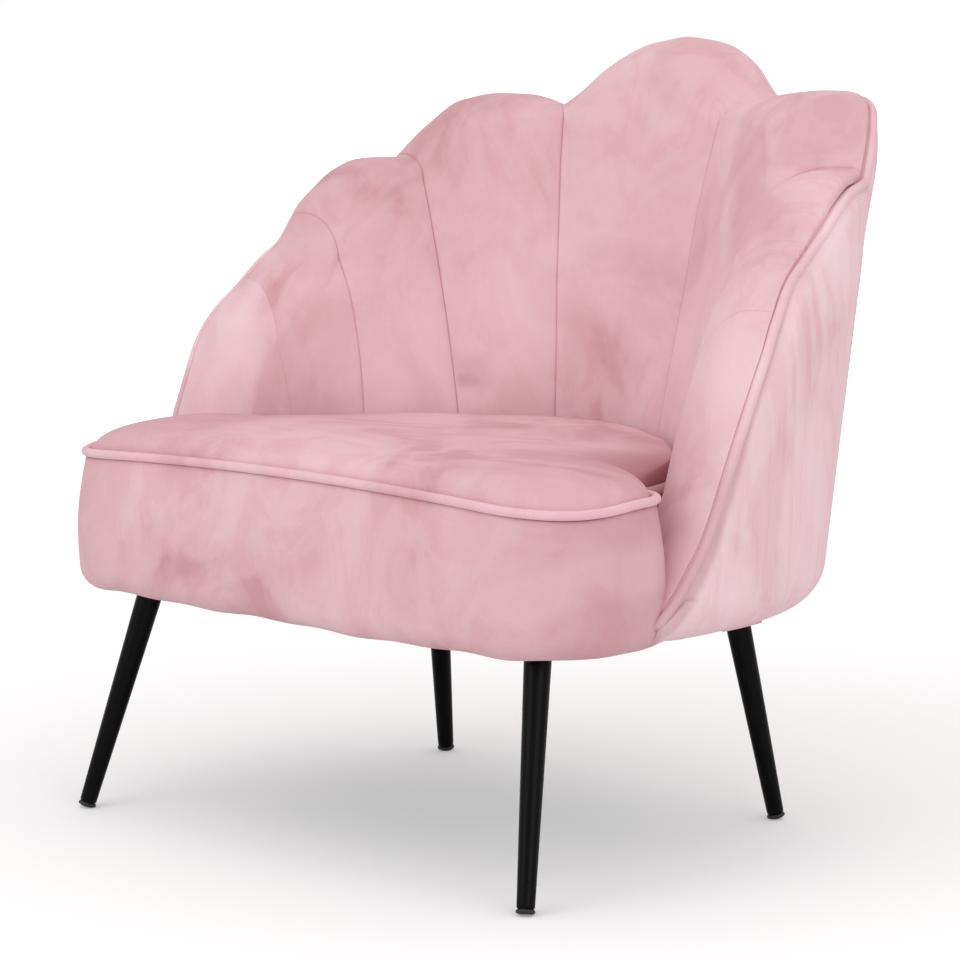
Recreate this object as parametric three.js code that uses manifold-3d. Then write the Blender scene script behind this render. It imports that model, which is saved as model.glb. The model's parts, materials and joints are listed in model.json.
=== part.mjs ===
// Scallop back chair: a channelled shell back on a seat block with four splayed, tapered legs.
// Millimetres, +Z up, the front of the chair faces -Y.
import * as THREE from 'three';
import { mergeVertices } from 'three/addons/utils/BufferGeometryUtils.js';
import Module from 'manifold-3d';

const wasm = await Module();
wasm.setup();

// Fits
const fitGap = 0.3;
const cutOverrun = 4;
const doubledShare = 2;
const steepShare = 0.9;

// Heights above the floor
const undersideHeight = 235;
const baseBoardHeight = 243.3;
const peakHeight = 809;
const notchHeights = [735, 671, 606, 553];
const armEndHeight = 250;
const lobeRises = [44, 26, 9];
const armSweep = 11;
const steepestSlantShare = 2.4;
const turnStepShare = 0.01;

// Plan of the shell: a squared half oval that opens forwards into straight arms
const shellFootHalfWidth = 390;
const shellHeadHalfWidth = 413;
const shellFootDepth = 323;
const shellHeadDepth = 434;
const planExponentShare = 3;

// Places around the plan as shares of a quarter turn: 0 is the middle of the back, 1 is square to the side
const rimSeamTurnShares = [0.267, 0.552, 0.767, 0.856];
const seatSeamTurnShares = [0.173, 0.426, 0.631, 0.788];
const armEndTurnShare = 1.135;
const armPadFootTurnShare = 0.93;
const seamBendShare = 3;
const seamGapShare = 0.002;
const lobeColumns = [6, 6, 5, 2, 6];

// Layers of the shell, outside to inside
const coverThickness = 8;
const waddingThickness = 8.7;
const shellBoardThickness = 9;
const shellEdgeMargin = 16;
const shellBottomRadius = 45;
const coverTurnUnder = 2;
const layerLeastHeight = 12;
const shellBoardFootHeight = 264;
const ribHeight = 22.5;
const ribDepth = 38;
const pipingRadius = 5;
const pipingSides = 6;

// Channel pads
const padFootThickness = 48;
const padRimThickness = 37;
const channelCrown = 11;
const rimRollHeight = 27;
const rimRollBackDrop = 8;
const padGap = 1;
const padOverEdge = 3;
const crownRoundnessShare = 0.65;
const rollSteps = 3;

// Seat block
const seatSideSetback = 20;
const seatHalfWidth = shellFootHalfWidth - seatSideSetback;
const seatFrontDistance = 216;
const seatRearDistance = 38;
const seatFrontCornerRadius = 96;
const seatRearCornerRadius = 44;
const seatWaistRadius = 12;
const borderHeight = 146;
const borderThickness = 10;
const borderTopDrawIn = 8;
const borderMidDrawIn = 3;
const borderFootRadius = 26;
const borderFootRise = 10;
const borderMiddleShare = 0.45;
const footCurveShare = 0.45;
const footCurveRiseShare = 0.25;
const footFoldShare = 0.6;
const seatCrown = 34;
const seatTopEdgeRise = 3;
const seatCrownExponentShare = 6;
const seatCentreShare = 0.12;
const seatRingShares = [1, 0.975, 0.93, 0.86, 0.74, 0.56, 0.3];

// Seat frame and springs
const baseBoardThickness = 18;
const baseBoardInset = 19;
const neckInset = 18;
const baseBoardShellInset = 46;
const railThickness = 20;
const railHeight = 50;
const frontRailSetback = 70;
const frontRailHalfLength = seatHalfWidth - frontRailSetback;
const frameSideSetback = 145;
const frameHalfWidth = shellFootHalfWidth - frameSideSetback;
const frameFrontSetback = 20;
const frameFront = seatFrontDistance - frameFrontSetback;
const frameBackSetback = 177;
const frameBack = shellFootDepth - frameBackSetback;
const cornerBlockLeg = 52;
const windowSideMargin = 95;
const windowHalfWidth = frameHalfWidth - windowSideMargin;
const windowFrontMargin = 116;
const windowFront = frameFront - windowFrontMargin;
const windowBackMargin = 26;
const windowBack = frameBack - windowBackMargin;
const springCount = 5;
const springSideMargin = 35;
const springSpacing = (frameHalfWidth - springSideMargin) * doubledShare / springCount;
const springWireRadius = 1.8;
const springSwing = 21;
const springWaves = 5;
const springStepsPerWave = 6;
const clipWidth = 16;
const clipLength = 14;
const clipHeight = 7.5;
const clipStripThickness = 1;
const foamInset = 19;

// Legs
const frontLegSideInset = 93.5;
const frontLegSide = seatHalfWidth - frontLegSideInset;
const frontLegInset = 85;
const frontLegForward = seatFrontDistance - frontLegInset;
const frontSplaySide = 42.5;
const frontSplayForward = 63;
const backLegTurnShare = 0.4803;
const backLegInset = 66.6;
const backSplaySide = 27.3;
const backSplayBack = 44.6;
const legTopRadius = 13.5;
const legFootRadius = 9.6;
const legLift = 6.4;
const plateHalfWidth = 18.5;
const plateThickness = 2.7;
const plateBossRadius = 8;
const plateBossHeight = 6;
const plateScrewOffset = 13;
const studRadius = 4;
const studInLeg = 18;
const studInBoard = 15;
const screwRadius = 2;
const screwHeadRadius = 3.8;
const screwHeadHeight = 1.8;
const screwLength = 13;
const shellScrewLength = 24;
const shellScrewTurnShares = [-0.86, -0.5, -0.16, 0.16, 0.5, 0.86];
const glideSoleRadius = 7.5;
const glideFlareRadius = 10.2;
const glideFlareHeight = 3.6;
const glideSpigotRadius = 5;
const glideSpigotLength = 11;
const legSides = 16;
const glideSides = 12;
const dustCoverThickness = 1.2;
const dustCoverInset = 30;
const dustCoverShellInset = 44;
const dustCoverLegHoleRadius = 20;

// Finishes
const velvet = { color: 0xdcaab2, roughness: 0.85, metalness: 0 };
const plywood = { color: 0xc9a574, roughness: 0.75, metalness: 0 };
const foam = { color: 0xe9e2c8, roughness: 0.95, metalness: 0 };
const blackSteel = { color: 0x151515, roughness: 0.35, metalness: 0.6 };
const zincSteel = { color: 0x9a9da0, roughness: 0.4, metalness: 0.9 };
const blackPlastic = { color: 0x1b1b1b, roughness: 0.6, metalness: 0 };
const blackFelt = { color: 0x202020, roughness: 0.95, metalness: 0 };

const chair = new THREE.Group();

function add(name, geometry, finish) {
  const mesh = new THREE.Mesh(geometry, new THREE.MeshStandardMaterial(finish));
  mesh.name = name;
  chair.add(mesh);
}

const mix = THREE.MathUtils.lerp;
const clamp = THREE.MathUtils.clamp;
const sideNames = { '-1': 'left', 1: 'right' };

// Closed bodies from vertices and faces. Faces are turned outwards by the sign of the volume.

function body(vertices, faces) {
  const corner = (index) => new THREE.Vector3(...vertices[index]);
  let volume = 0;
  for (const [a, b, c] of faces) {
    volume += corner(a).dot(corner(b).cross(corner(c)));
  }
  const ordered = volume < 0 ? faces.map(([a, b, c]) => [a, c, b]) : faces;
  const geometry = new THREE.BufferGeometry();
  geometry.setAttribute('position', new THREE.Float32BufferAttribute(vertices.flat(), 3));
  geometry.setIndex(ordered.flat());
  return geometry;
}

function pushQuad(faces, a, b, c, d) {
  faces.push([a, b, c], [a, c, d]);
}

// A slab between two sheets of points with the same rows and columns.
function slab(front, back) {
  const rows = front.length;
  const columns = front[0].length;
  const backStart = rows * columns;
  const at = (row, column) => row * columns + column;
  const faces = [];
  for (let row = 0; row < rows - 1; row += 1) {
    for (let column = 0; column < columns - 1; column += 1) {
      const [a, b] = [at(row, column), at(row, column + 1)];
      const [d, c] = [at(row + 1, column), at(row + 1, column + 1)];
      faces.push([a, b, c], [a, c, d]);
      const under = (index) => index + backStart;
      faces.push([under(a), under(c), under(b)], [under(a), under(d), under(c)]);
    }
  }
  const upTo = (last) => Array.from({ length: last }, (_, index) => index);
  const edge = [
    ...upTo(columns - 1).map((column) => at(0, column)),
    ...upTo(rows - 1).map((row) => at(row, columns - 1)),
    ...upTo(columns - 1).map((column) => at(rows - 1, columns - 1 - column)),
    ...upTo(rows - 1).map((row) => at(rows - 1 - row, 0)),
  ];
  edge.forEach((index, place) => {
    const next = edge[(place + 1) % edge.length];
    pushQuad(faces, index, index + backStart, next + backStart, next);
  });
  return body([...front.flat(), ...back.flat()], faces);
}

// Rings of points joined in order, with a fan over each end.
function loft(rings) {
  const count = rings[0].length;
  const vertices = rings.flat();
  const faces = [];
  for (let ring = 0; ring < rings.length - 1; ring += 1) {
    for (let place = 0; place < count; place += 1) {
      const next = (place + 1) % count;
      const low = ring * count;
      const high = low + count;
      pushQuad(faces, low + place, low + next, high + next, high + place);
    }
  }
  for (const [ring, forwards] of [[0, false], [rings.length - 1, true]]) {
    const centre = vertices.length;
    vertices.push([0, 1, 2].map((axis) => mean(rings[ring].map((point) => point[axis]))));
    for (let place = 0; place < count; place += 1) {
      const a = ring * count + place;
      const b = ring * count + (place + 1) % count;
      faces.push(forwards ? [centre, a, b] : [centre, b, a]);
    }
  }
  return body(vertices, faces);
}

function mean(values) {
  return values.reduce((sum, value) => sum + value, 0) / values.length;
}

// Sections joined in order and back to the first, such as a band or a closed tube.
function ringOfSections(sections) {
  const count = sections[0].length;
  const faces = [];
  sections.forEach((section, index) => {
    const here = index * count;
    const there = ((index + 1) % sections.length) * count;
    for (let place = 0; place < count; place += 1) {
      const next = (place + 1) % count;
      pushQuad(faces, here + place, here + next, there + next, there + place);
    }
  });
  return body(sections.flat(), faces);
}

// Circles of the given radius along a path, square to it.
function tubeSections(path, radius, sides, closed) {
  const last = path.length - 1;
  return path.map((point, index) => {
    const before = path[closed ? (index + last) % path.length : Math.max(index - 1, 0)];
    const after = path[closed ? (index + 1) % path.length : Math.min(index + 1, last)];
    const along = new THREE.Vector3(...after).sub(new THREE.Vector3(...before)).normalize();
    const hint = Math.abs(along.z) > steepShare ? new THREE.Vector3(1, 0, 0) : new THREE.Vector3(0, 0, 1);
    const across = new THREE.Vector3().crossVectors(along, hint).normalize();
    const up = new THREE.Vector3().crossVectors(across, along);
    return Array.from({ length: sides }, (_, side) => {
      const angle = (side / sides) * Math.PI * 2;
      const offset = across.clone().multiplyScalar(Math.cos(angle) * radius);
      offset.addScaledVector(up, Math.sin(angle) * radius);
      return new THREE.Vector3(...point).add(offset).toArray();
    });
  });
}

// Cuts and joins

function toSolid(geometry) {
  const plain = geometry.clone();
  plain.deleteAttribute('normal');
  plain.deleteAttribute('uv');
  const welded = mergeVertices(plain);
  return new wasm.Manifold(new wasm.Mesh({
    numProp: 3,
    vertProperties: new Float32Array(welded.attributes.position.array),
    triVerts: new Uint32Array(welded.index.array),
  }));
}

function fromSolid(solid) {
  const mesh = solid.getMesh();
  const geometry = new THREE.BufferGeometry();
  geometry.setAttribute('position', new THREE.Float32BufferAttribute(mesh.vertProperties, 3));
  geometry.setIndex(new THREE.Uint32BufferAttribute(mesh.triVerts, 1));
  return geometry;
}

function cut(geometry, tools) {
  return fromSolid(tools.reduce((solid, tool) => solid.subtract(toSolid(tool)), toSolid(geometry)));
}

function join(geometries) {
  const [first, ...rest] = geometries.map(toSolid);
  return fromSolid(rest.reduce((solid, next) => solid.add(next), first));
}

function box(x0, x1, y0, y1, z0, z1) {
  const geometry = new THREE.BoxGeometry(x1 - x0, y1 - y0, z1 - z0);
  return geometry.translate((x0 + x1) / 2, (y0 + y1) / 2, (z0 + z1) / 2);
}

// A cylinder between two points.
function rod(from, to, radius, sides = 12) {
  const start = new THREE.Vector3(...from);
  const span = new THREE.Vector3(...to).sub(start);
  const geometry = new THREE.CylinderGeometry(radius, radius, span.length(), sides);
  const along = span.clone().normalize();
  const turn = new THREE.Quaternion().setFromUnitVectors(new THREE.Vector3(0, 1, 0), along);
  return geometry.applyQuaternion(turn).translate(...start.addScaledVector(span, 1 / 2).toArray());
}

// The shell's plan and rim

function heightShare(z) {
  return (z - undersideHeight) / (peakHeight - undersideHeight);
}

function shellHalfWidth(z) {
  return mix(shellFootHalfWidth, shellHeadHalfWidth, heightShare(z));
}

function shellDepth(z) {
  return mix(shellFootDepth, shellHeadDepth, heightShare(z));
}

// The point at a turn around the plan, at a height and a distance in from the outer face.
function shellPoint(turn, z, inset) {
  const angle = turn * Math.PI / 2;
  return [...ovalPoint(angle, shellHalfWidth(z) - inset, shellDepth(z) - inset), z];
}

function ovalPoint(angle, halfWidth, depth) {
  const across = Math.sin(angle);
  const back = Math.cos(angle);
  if (back <= 0) {
    return [halfWidth * Math.sign(angle), halfWidth * back / Math.abs(across)];
  }
  const sum = (Math.abs(across) / halfWidth) ** planExponentShare + (back / depth) ** planExponentShare;
  const reach = sum ** (-1 / planExponentShare);
  return [reach * across, reach * back];
}

const rimTurns = [0, ...rimSeamTurnShares, armEndTurnShare];
const rimHeights = [peakHeight, ...notchHeights, armEndHeight];

// Height of the rim: a cosine arch in the middle, lower lobes beside it and the arm's long sweep.
function rimHeight(turn) {
  const place = Math.abs(turn);
  const lobe = Math.max(0, rimTurns.findIndex((limit, index) => index > 0 && place <= limit) - 1);
  const share = clamp((place - rimTurns[lobe]) / (rimTurns[lobe + 1] - rimTurns[lobe]), 0, 1);
  if (lobe === 0) {
    return notchHeights[0] + (peakHeight - notchHeights[0]) * Math.cos(share * Math.PI / 2);
  }
  const chord = mix(rimHeights[lobe], rimHeights[lobe + 1], share);
  if (lobe > lobeRises.length) return chord + armSweep * Math.sin(share * Math.PI * 2);
  return chord + lobeRises[lobe - 1] * Math.sin(share * Math.PI);
}

// How much longer a vertical line is than the square distance to the rim.
function rimSlant(turn) {
  const low = shellPoint(turn - turnStepShare, rimHeight(turn), 0);
  const high = shellPoint(turn + turnStepShare, rimHeight(turn), 0);
  const run = Math.hypot(high[0] - low[0], high[1] - low[1]);
  const rise = rimHeight(turn + turnStepShare) - rimHeight(turn - turnStepShare);
  return Math.min(Math.hypot(1, rise / run), steepestSlantShare);
}

// Height of a line that keeps a square distance below the rim.
function belowRim(turn, distance) {
  return rimHeight(turn) - distance * rimSlant(turn);
}

// The furthest turn at which a layer with this margin still stands a given height above its foot.
function frontTurn(margin, footHeight, leastHeight) {
  let near = rimSeamTurnShares.at(-1);
  let far = armEndTurnShare;
  for (let step = 0; step < 30; step += 1) {
    const middle = (near + far) / 2;
    if (belowRim(middle, margin) > footHeight + leastHeight) {
      near = middle;
    } else {
      far = middle;
    }
  }
  return near;
}

// The front of the shell's layers, where they still stand a little above their lowest shared row.
const layerRowHeight = undersideHeight + shellBottomRadius;
const layerReach = frontTurn(shellEdgeMargin, layerRowHeight, layerLeastHeight);

function spread(from, to, count) {
  return Array.from({ length: count + 1 }, (_, index) => mix(from, to, index / count));
}

// Turns around the shell with a column on every seam, closer together on the arms.
function shellTurns(reach) {
  const half = [0];
  for (let lobe = 0; lobe < rimTurns.length - 1; lobe += 1) {
    const end = Math.min(rimTurns[lobe + 1], reach);
    half.push(...spread(rimTurns[lobe], end, lobeColumns[lobe]).slice(1));
  }
  return [...half.slice(1).reverse().map((turn) => -turn), ...half];
}

// A layer of the shell of even thickness between its foot and a margin below the rim.
function shellLayer(outerInset, thickness, footHeight) {
  const face = (inset) => shellTurns(layerReach).map((turn) => {
    const heights = layerHeights(turn, layerRowHeight);
    if (footHeight < layerRowHeight) {
      heights.unshift(footHeight);
    }
    return heights.map((z) => shellPoint(turn, z, inset));
  });
  return slab(face(outerInset), face(outerInset + thickness));
}

// Heights that every layer shares, so that their faces lie side by side.
function layerHeights(turn, foot) {
  return spread(foot, belowRim(turn, shellEdgeMargin), 4);
}

// The outer cover's bottom edge is turned under the shell on a quarter circle.
function outerCover() {
  const face = (depth) => shellTurns(layerReach).map((turn) => {
    const column = [shellPoint(turn, undersideHeight + depth, shellBottomRadius + coverTurnUnder)];
    for (const angle of spread(0, Math.PI / 2, 3)) {
      const reach = shellBottomRadius - depth;
      const inset = shellBottomRadius - reach * Math.sin(angle);
      column.push(shellPoint(turn, layerRowHeight - reach * Math.cos(angle), inset));
    }
    const straight = layerHeights(turn, layerRowHeight).slice(1);
    return [...column, ...straight.map((z) => shellPoint(turn, z, depth))];
  });
  return slab(face(0), face(coverThickness));
}

// Channel pads

const waddingInset = coverThickness + fitGap;
const shellBoardInset = waddingInset + waddingThickness + fitGap;
const ribInset = shellBoardInset + shellBoardThickness + fitGap;
const padBackInset = shellBoardInset + shellBoardThickness + padGap;
const ribFootHeight = baseBoardHeight + baseBoardThickness + fitGap;
const padFootHeight = ribFootHeight + ribHeight + fitGap;
const padEdgeInset = pipingRadius * doubledShare + fitGap;

// A point on a pad line, which fans out from the seat to the rim.
function padPoint(line, share, inset) {
  const turn = mix(line.footTurn, line.rimTurn, share ** line.bend);
  return shellPoint(turn, mix(padFootHeight, line.rimZ, share), inset);
}

function padLine(footTurn, rimTurn, bend) {
  const rimZ = rimHeight(rimTurn);
  const foot = shellPoint(footTurn, padFootHeight, padBackInset);
  const rim = shellPoint(rimTurn, rimZ, padBackInset);
  const run = Math.hypot(rim[0] - foot[0], rim[1] - foot[1]);
  return { footTurn, rimTurn, rimZ, bend, pace: Math.hypot(run * bend, rim[2] - foot[2]) };
}

// One channel: a crowned front that rolls over the rim down to the piping, and a back on the shell board.
function channelPad(footTurns, rimTurnsOfPad, bends, columns) {
  const shares = spread(0, 1, columns);
  const front = [];
  const back = [];
  for (const across of shares) {
    const rimTurn = mix(...rimTurnsOfPad, across);
    const line = padLine(mix(...footTurns, across), rimTurn, mix(...bends, across));
    const crown = channelCrown * Math.max(Math.sin(across * Math.PI), 0) ** crownRoundnessShare;
    const faceInset = (share) => padBackInset + mix(padFootThickness, padRimThickness, share) + crown;
    const rollStart = 1 - rimRollHeight / line.pace;
    const boardTop = 1 - (shellEdgeMargin - padOverEdge) / line.pace;
    const rollFront = faceInset(rollStart);
    const rollMiddle = (rollFront + padEdgeInset) / 2;
    const straight = spread(0, rollStart, 5);
    const roll = spread(0, Math.PI, 2 * rollSteps).slice(1).map((angle) => {
      const drop = (angle < Math.PI / 2 ? rimRollHeight : rimRollBackDrop) * (1 - Math.sin(angle));
      const inset = rollMiddle + (rollFront - rollMiddle) * Math.cos(angle);
      return padPoint(line, 1 - drop / line.pace, inset);
    });
    front.push([...straight.map((share) => padPoint(line, share, faceInset(share))), ...roll]);
    const behindRoll = spread(rollStart, boardTop, rollSteps).slice(1);
    const rising = [...straight, ...behindRoll].map((share) => padPoint(line, share, padBackInset));
    const overBoard = spread(padBackInset, padEdgeInset, rollSteps).slice(1);
    back.push([...rising, ...overBoard.map((inset) => padPoint(line, boardTop, inset))]);
  }
  return slab(front, back);
}

// The arm pad ends where the rim comes down to the rib.
function armPadEndTurn() {
  return frontTurn(0, padFootHeight, fitGap);
}

// A pad's own share of the seam gap on each side.
function betweenSeams(turns, side) {
  const [from, to] = turns;
  return [side * (from + seamGapShare), side * (to - seamGapShare)];
}

// Seat block

const seatHeight = undersideHeight + borderHeight;
const seatBackInset = padBackInset + padFootThickness + channelCrown + fitGap;

// Plan of the seat: rounded front corners, a waist behind them and a back that follows the channels.
function seatOutline(z) {
  const waist = shellHalfWidth(z) - seatBackInset;
  const depth = shellDepth(z) - seatBackInset;
  const half = [[0, -seatFrontDistance]];
  const arc = (x, y, radius, from, to, steps) => {
    for (const degrees of spread(from, to, steps)) {
      const angle = THREE.MathUtils.degToRad(degrees);
      half.push([x + radius * Math.cos(angle), y + radius * Math.sin(angle)]);
    }
  };
  const frontX = seatHalfWidth - seatFrontCornerRadius;
  const rearX = seatHalfWidth - seatRearCornerRadius;
  half.push([frontX / 2, -seatFrontDistance]);
  arc(frontX, seatFrontCornerRadius - seatFrontDistance, seatFrontCornerRadius, -90, 0, 7);
  arc(rearX, -seatRearDistance - seatRearCornerRadius, seatRearCornerRadius, 0, 90, 4);
  arc(waist + seatWaistRadius, seatWaistRadius - seatRearDistance, seatWaistRadius, 270, 180, 3);
  for (const angle of spread(Math.PI / 2, 0, 12)) {
    half.push(ovalPoint(angle, waist, depth));
  }
  const other = half.slice(1, -1).reverse().map(([x, y]) => [-x, y]);
  return [...half, ...other];
}

// The outline moved inwards along its own normals.
function insetOutline(outline, distance) {
  return outline.map(([x, y], index) => {
    const [bx, by] = outline[(index + outline.length - 1) % outline.length];
    const [ax, ay] = outline[(index + 1) % outline.length];
    const length = Math.hypot(ax - bx, ay - by);
    return [x - distance * (ay - by) / length, y + distance * (ax - bx) / length];
  });
}

const outline = seatOutline(seatHeight);

function atHeight(points, z) {
  return points.map(([x, y]) => [x, y, z]);
}

// The border stands on the underside in front and on the base board behind the waist.
function seatBorder() {
  const profile = [
    [borderTopDrawIn, seatHeight],
    [borderMidDrawIn, seatHeight - borderHeight * borderMiddleShare],
    [0, undersideHeight + borderFootRadius],
    [borderMidDrawIn, undersideHeight + borderFootRise],
    [borderFootRadius * footCurveShare, undersideHeight + borderFootRise * footCurveRiseShare],
    [borderFootRadius, undersideHeight],
    [borderFootRadius, baseBoardHeight - fitGap],
    [borderFootRadius * footCurveShare + borderThickness * footFoldShare, baseBoardHeight - fitGap],
    [borderMidDrawIn + borderThickness, undersideHeight + borderFootRise + borderThickness / 2],
    [borderThickness, undersideHeight + borderFootRadius + borderThickness],
    [borderTopDrawIn + borderThickness, seatHeight],
  ];
  const rearFoot = baseBoardHeight + baseBoardThickness + fitGap;
  const lift = (z) => seatHeight - (seatHeight - z) * (seatHeight - rearFoot) / borderHeight;
  const rings = profile.map(([inset, z]) => insetOutline(seatOutline(lift(z)), inset));
  const sections = outline.map(([, y], place) => profile.map(([, z], level) => (
    [...rings[level][place], y >= 0 ? lift(z) : z]
  )));
  return ringOfSections(sections);
}

// Rings that shrink towards the middle of the seat while they rise, so that the top is crowned.
function seatTopPad() {
  const edge = insetOutline(outline, borderTopDrawIn + pipingRadius + fitGap);
  const centreY = -seatFrontDistance * seatCentreShare;
  const foot = seatHeight + fitGap;
  const rings = [atHeight(edge, foot)];
  for (const share of seatRingShares) {
    const rise = seatCrown * Math.sqrt(1 - share ** seatCrownExponentShare);
    const ring = edge.map(([x, y]) => [x * share, centreY + (y - centreY) * share]);
    rings.push(atHeight(ring, foot + seatTopEdgeRise + rise));
  }
  return loft(rings);
}

function seatPiping() {
  const path = atHeight(insetOutline(outline, borderTopDrawIn), seatHeight + pipingRadius + fitGap);
  return ringOfSections(tubeSections(path, pipingRadius - fitGap, pipingSides, true));
}

function rimPiping() {
  const down = shellEdgeMargin - pipingRadius - fitGap * doubledShare;
  const path = shellTurns(layerReach).map((turn) => shellPoint(turn, belowRim(turn, down), pipingRadius));
  return loft(tubeSections(path, pipingRadius - fitGap, pipingSides, false));
}

// Wooden parts

function plate(points, z0, z1, holes = []) {
  const flat = (loop) => loop.map(([x, y]) => new THREE.Vector2(x, y));
  const shape = new THREE.Shape(flat(points));
  holes.forEach((hole) => shape.holes.push(new THREE.Path(flat(hole))));
  const geometry = new THREE.ExtrudeGeometry(shape, { depth: z1 - z0, bevelEnabled: false });
  return geometry.translate(0, 0, z0);
}

// Outline of the boards under the seat: inside the border in front and under the shell behind.
function underOutline(frontInset, shellInset) {
  const level = seatOutline(ribFootHeight);
  const [wide, narrow] = [frontInset, frontInset + neckInset].map((inset) => insetOutline(level, inset));
  const isFront = (index) => level[index][1] < -seatRearDistance - fitGap;
  const front = wide.map((point, index) => (isFront(index) ? point : narrow[index]));
  const rightHalf = front.slice(0, outline.length / 2 + 1);
  const right = rightHalf.filter(([x], index) => outline[index][1] <= fitGap && x >= 0);
  const shell = spread(1, 0, 14).map((turn) => shellPoint(turn, baseBoardHeight, shellInset));
  const half = [...right, ...shell.map(([x, y]) => [x, Math.max(y, seatWaistRadius)])];
  const other = half.slice(1, -1).reverse().map(([x, y]) => [-x, y]);
  return [...half, ...other];
}

function baseBoard(studHoles) {
  const windowHole = [
    [-windowHalfWidth, -windowFront], [windowHalfWidth, -windowFront],
    [windowHalfWidth, windowBack], [-windowHalfWidth, windowBack],
  ];
  const top = baseBoardHeight + baseBoardThickness;
  const edge = underOutline(baseBoardInset, baseBoardShellInset);
  return cut(plate(edge, baseBoardHeight, top, [windowHole]), studHoles);
}

function shellRib() {
  const levels = [ribFootHeight, ribFootHeight + ribHeight];
  const face = (inset) => shellTurns(1).map((turn) => levels.map((z) => shellPoint(turn, z, inset)));
  return slab(face(ribInset), face(ribInset + ribDepth));
}

// Four rails on the base board with a three-cornered block glued into each corner.
function frameParts() {
  const z0 = ribFootHeight;
  const z1 = ribFootHeight + railHeight;
  const innerFront = -frameFront + railThickness + fitGap;
  const innerBack = frameBack - railThickness - fitGap;
  const innerSide = frameHalfWidth - railThickness;
  const crossRail = (half, y) => box(-half, half, y, y + railThickness, z0, z1);
  add('seat_rail_front', crossRail(frontRailHalfLength, -frameFront), plywood);
  add('seat_rail_back', crossRail(frameHalfWidth, frameBack - railThickness), plywood);
  for (const side of [-1, 1]) {
    const name = sideNames[side];
    const [x0, x1] = [side * innerSide, side * frameHalfWidth].sort((a, b) => a - b);
    add(`seat_rail_${name}`, box(x0, x1, innerFront, innerBack, z0, z1), plywood);
    const cornerX = side * (innerSide - fitGap);
    const block = (y, along) => plate([
      [cornerX, y], [cornerX - side * cornerBlockLeg, y], [cornerX, y + along * cornerBlockLeg],
    ].sort((a, b) => side * along * (a[0] - b[0]) || along * (a[1] - b[1])), z0, z1);
    add(`corner_block_front_${name}`, block(innerFront, 1), plywood);
    add(`corner_block_back_${name}`, block(innerBack, -1), plywood);
  }
  return z1;
}

// The centre line of one sinuous spring, from the front rail to the back rail.
function springPath(x, z) {
  const from = -frameFront + clipLength / 2;
  const to = frameBack - clipLength / 2;
  return spread(0, 1, springWaves * springStepsPerWave).map((share) => {
    const swing = springSwing * Math.sin(share * springWaves * Math.PI * 2);
    return [x + swing, mix(from, to, share), z];
  });
}

// Sinuous springs, and on each rail a steel strip with a clip over every spring's end.
function springParts(railTop) {
  const wireHeight = railTop + (clipHeight + clipStripThickness) / 2;
  const middle = (springCount - 1) / 2;
  const places = spread(-middle, middle, springCount - 1);
  const paths = places.map((place) => springPath(place * springSpacing, wireHeight));
  paths.forEach((path, index) => {
    add(`sinuous_spring_${index + 1}`, loft(tubeSections(path, springWireRadius, 4, false)), zincSteel);
  });
  for (const [name, y, along] of [['front', -frameFront, 1], ['back', frameBack, -1]]) {
    const ends = [y + along * fitGap, y + along * clipLength].sort((a, b) => a - b);
    const half = springSpacing * springCount / 2;
    const foot = railTop + fitGap;
    const clips = paths.map((path) => {
      const [x] = path[0];
      const block = box(x - clipWidth / 2, x + clipWidth / 2, ...ends, foot, railTop + clipHeight);
      return cut(block, [springBed(path, y, along)]);
    });
    const strip = box(-half, half, ...ends, foot, foot + clipStripThickness);
    add(`spring_clip_strip_${name}`, join([strip, ...clips]), zincSteel);
  }
  return railTop + clipHeight;
}

// The room that a clip leaves round the spring's end.
function springBed(path, y, along) {
  const near = path.filter((point) => Math.abs(point[1] - y) < clipLength * doubledShare);
  const xs = near.map((point) => point[0]);
  const reach = springWireRadius + fitGap;
  const z = path[0][2];
  const depths = [clipLength / 2 - reach, clipLength + cutOverrun];
  const ends = depths.map((depth) => y + along * depth).sort((a, b) => a - b);
  return box(Math.min(...xs) - reach, Math.max(...xs) + reach, ...ends, z - reach, z + reach);
}

function foamCore(foot) {
  const levels = [foot + fitGap, seatHeight];
  return loft(levels.map((z) => atHeight(insetOutline(seatOutline(z), foamInset), z)));
}

// Legs

const [backLegSide, backLegBack] = shellPoint(backLegTurnShare, undersideHeight, backLegInset);
const legPlaces = [-1, 1].flatMap((side) => [
  {
    name: `front_${sideNames[side]}`,
    x: side * frontLegSide,
    y: -frontLegForward,
    splayX: side * frontSplaySide,
    splayY: -frontSplayForward,
  },
  {
    name: `back_${sideNames[side]}`,
    x: side * backLegSide,
    y: backLegBack,
    splayX: side * backSplaySide,
    splayY: backSplayBack,
  },
]);

// The leg's axis from the base board down to the floor.
function legAxis(place) {
  const head = new THREE.Vector3(place.x, place.y, baseBoardHeight);
  const foot = new THREE.Vector3(place.x + place.splayX, place.y + place.splayY, 0);
  const down = foot.clone().sub(head).normalize();
  const at = (distance) => head.clone().addScaledVector(down, distance);
  return { head, foot, down, at, length: head.distanceTo(foot) };
}

// A shape turned round the Z axis is laid along the leg's axis, with its Z pointing up the leg.
function alongLeg(geometry, axis, distance) {
  const up = axis.down.clone().negate();
  const turn = new THREE.Quaternion().setFromUnitVectors(new THREE.Vector3(0, 0, 1), up);
  return geometry.applyQuaternion(turn).translate(...axis.at(distance).toArray());
}

function turned(points, sides) {
  const profile = points.map(([radius, z]) => new THREE.Vector2(radius, z));
  return new THREE.LatheGeometry(profile, sides).rotateX(Math.PI / 2);
}

function plateTurn(place) {
  return Math.atan2(place.splayY, place.splayX);
}

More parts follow.
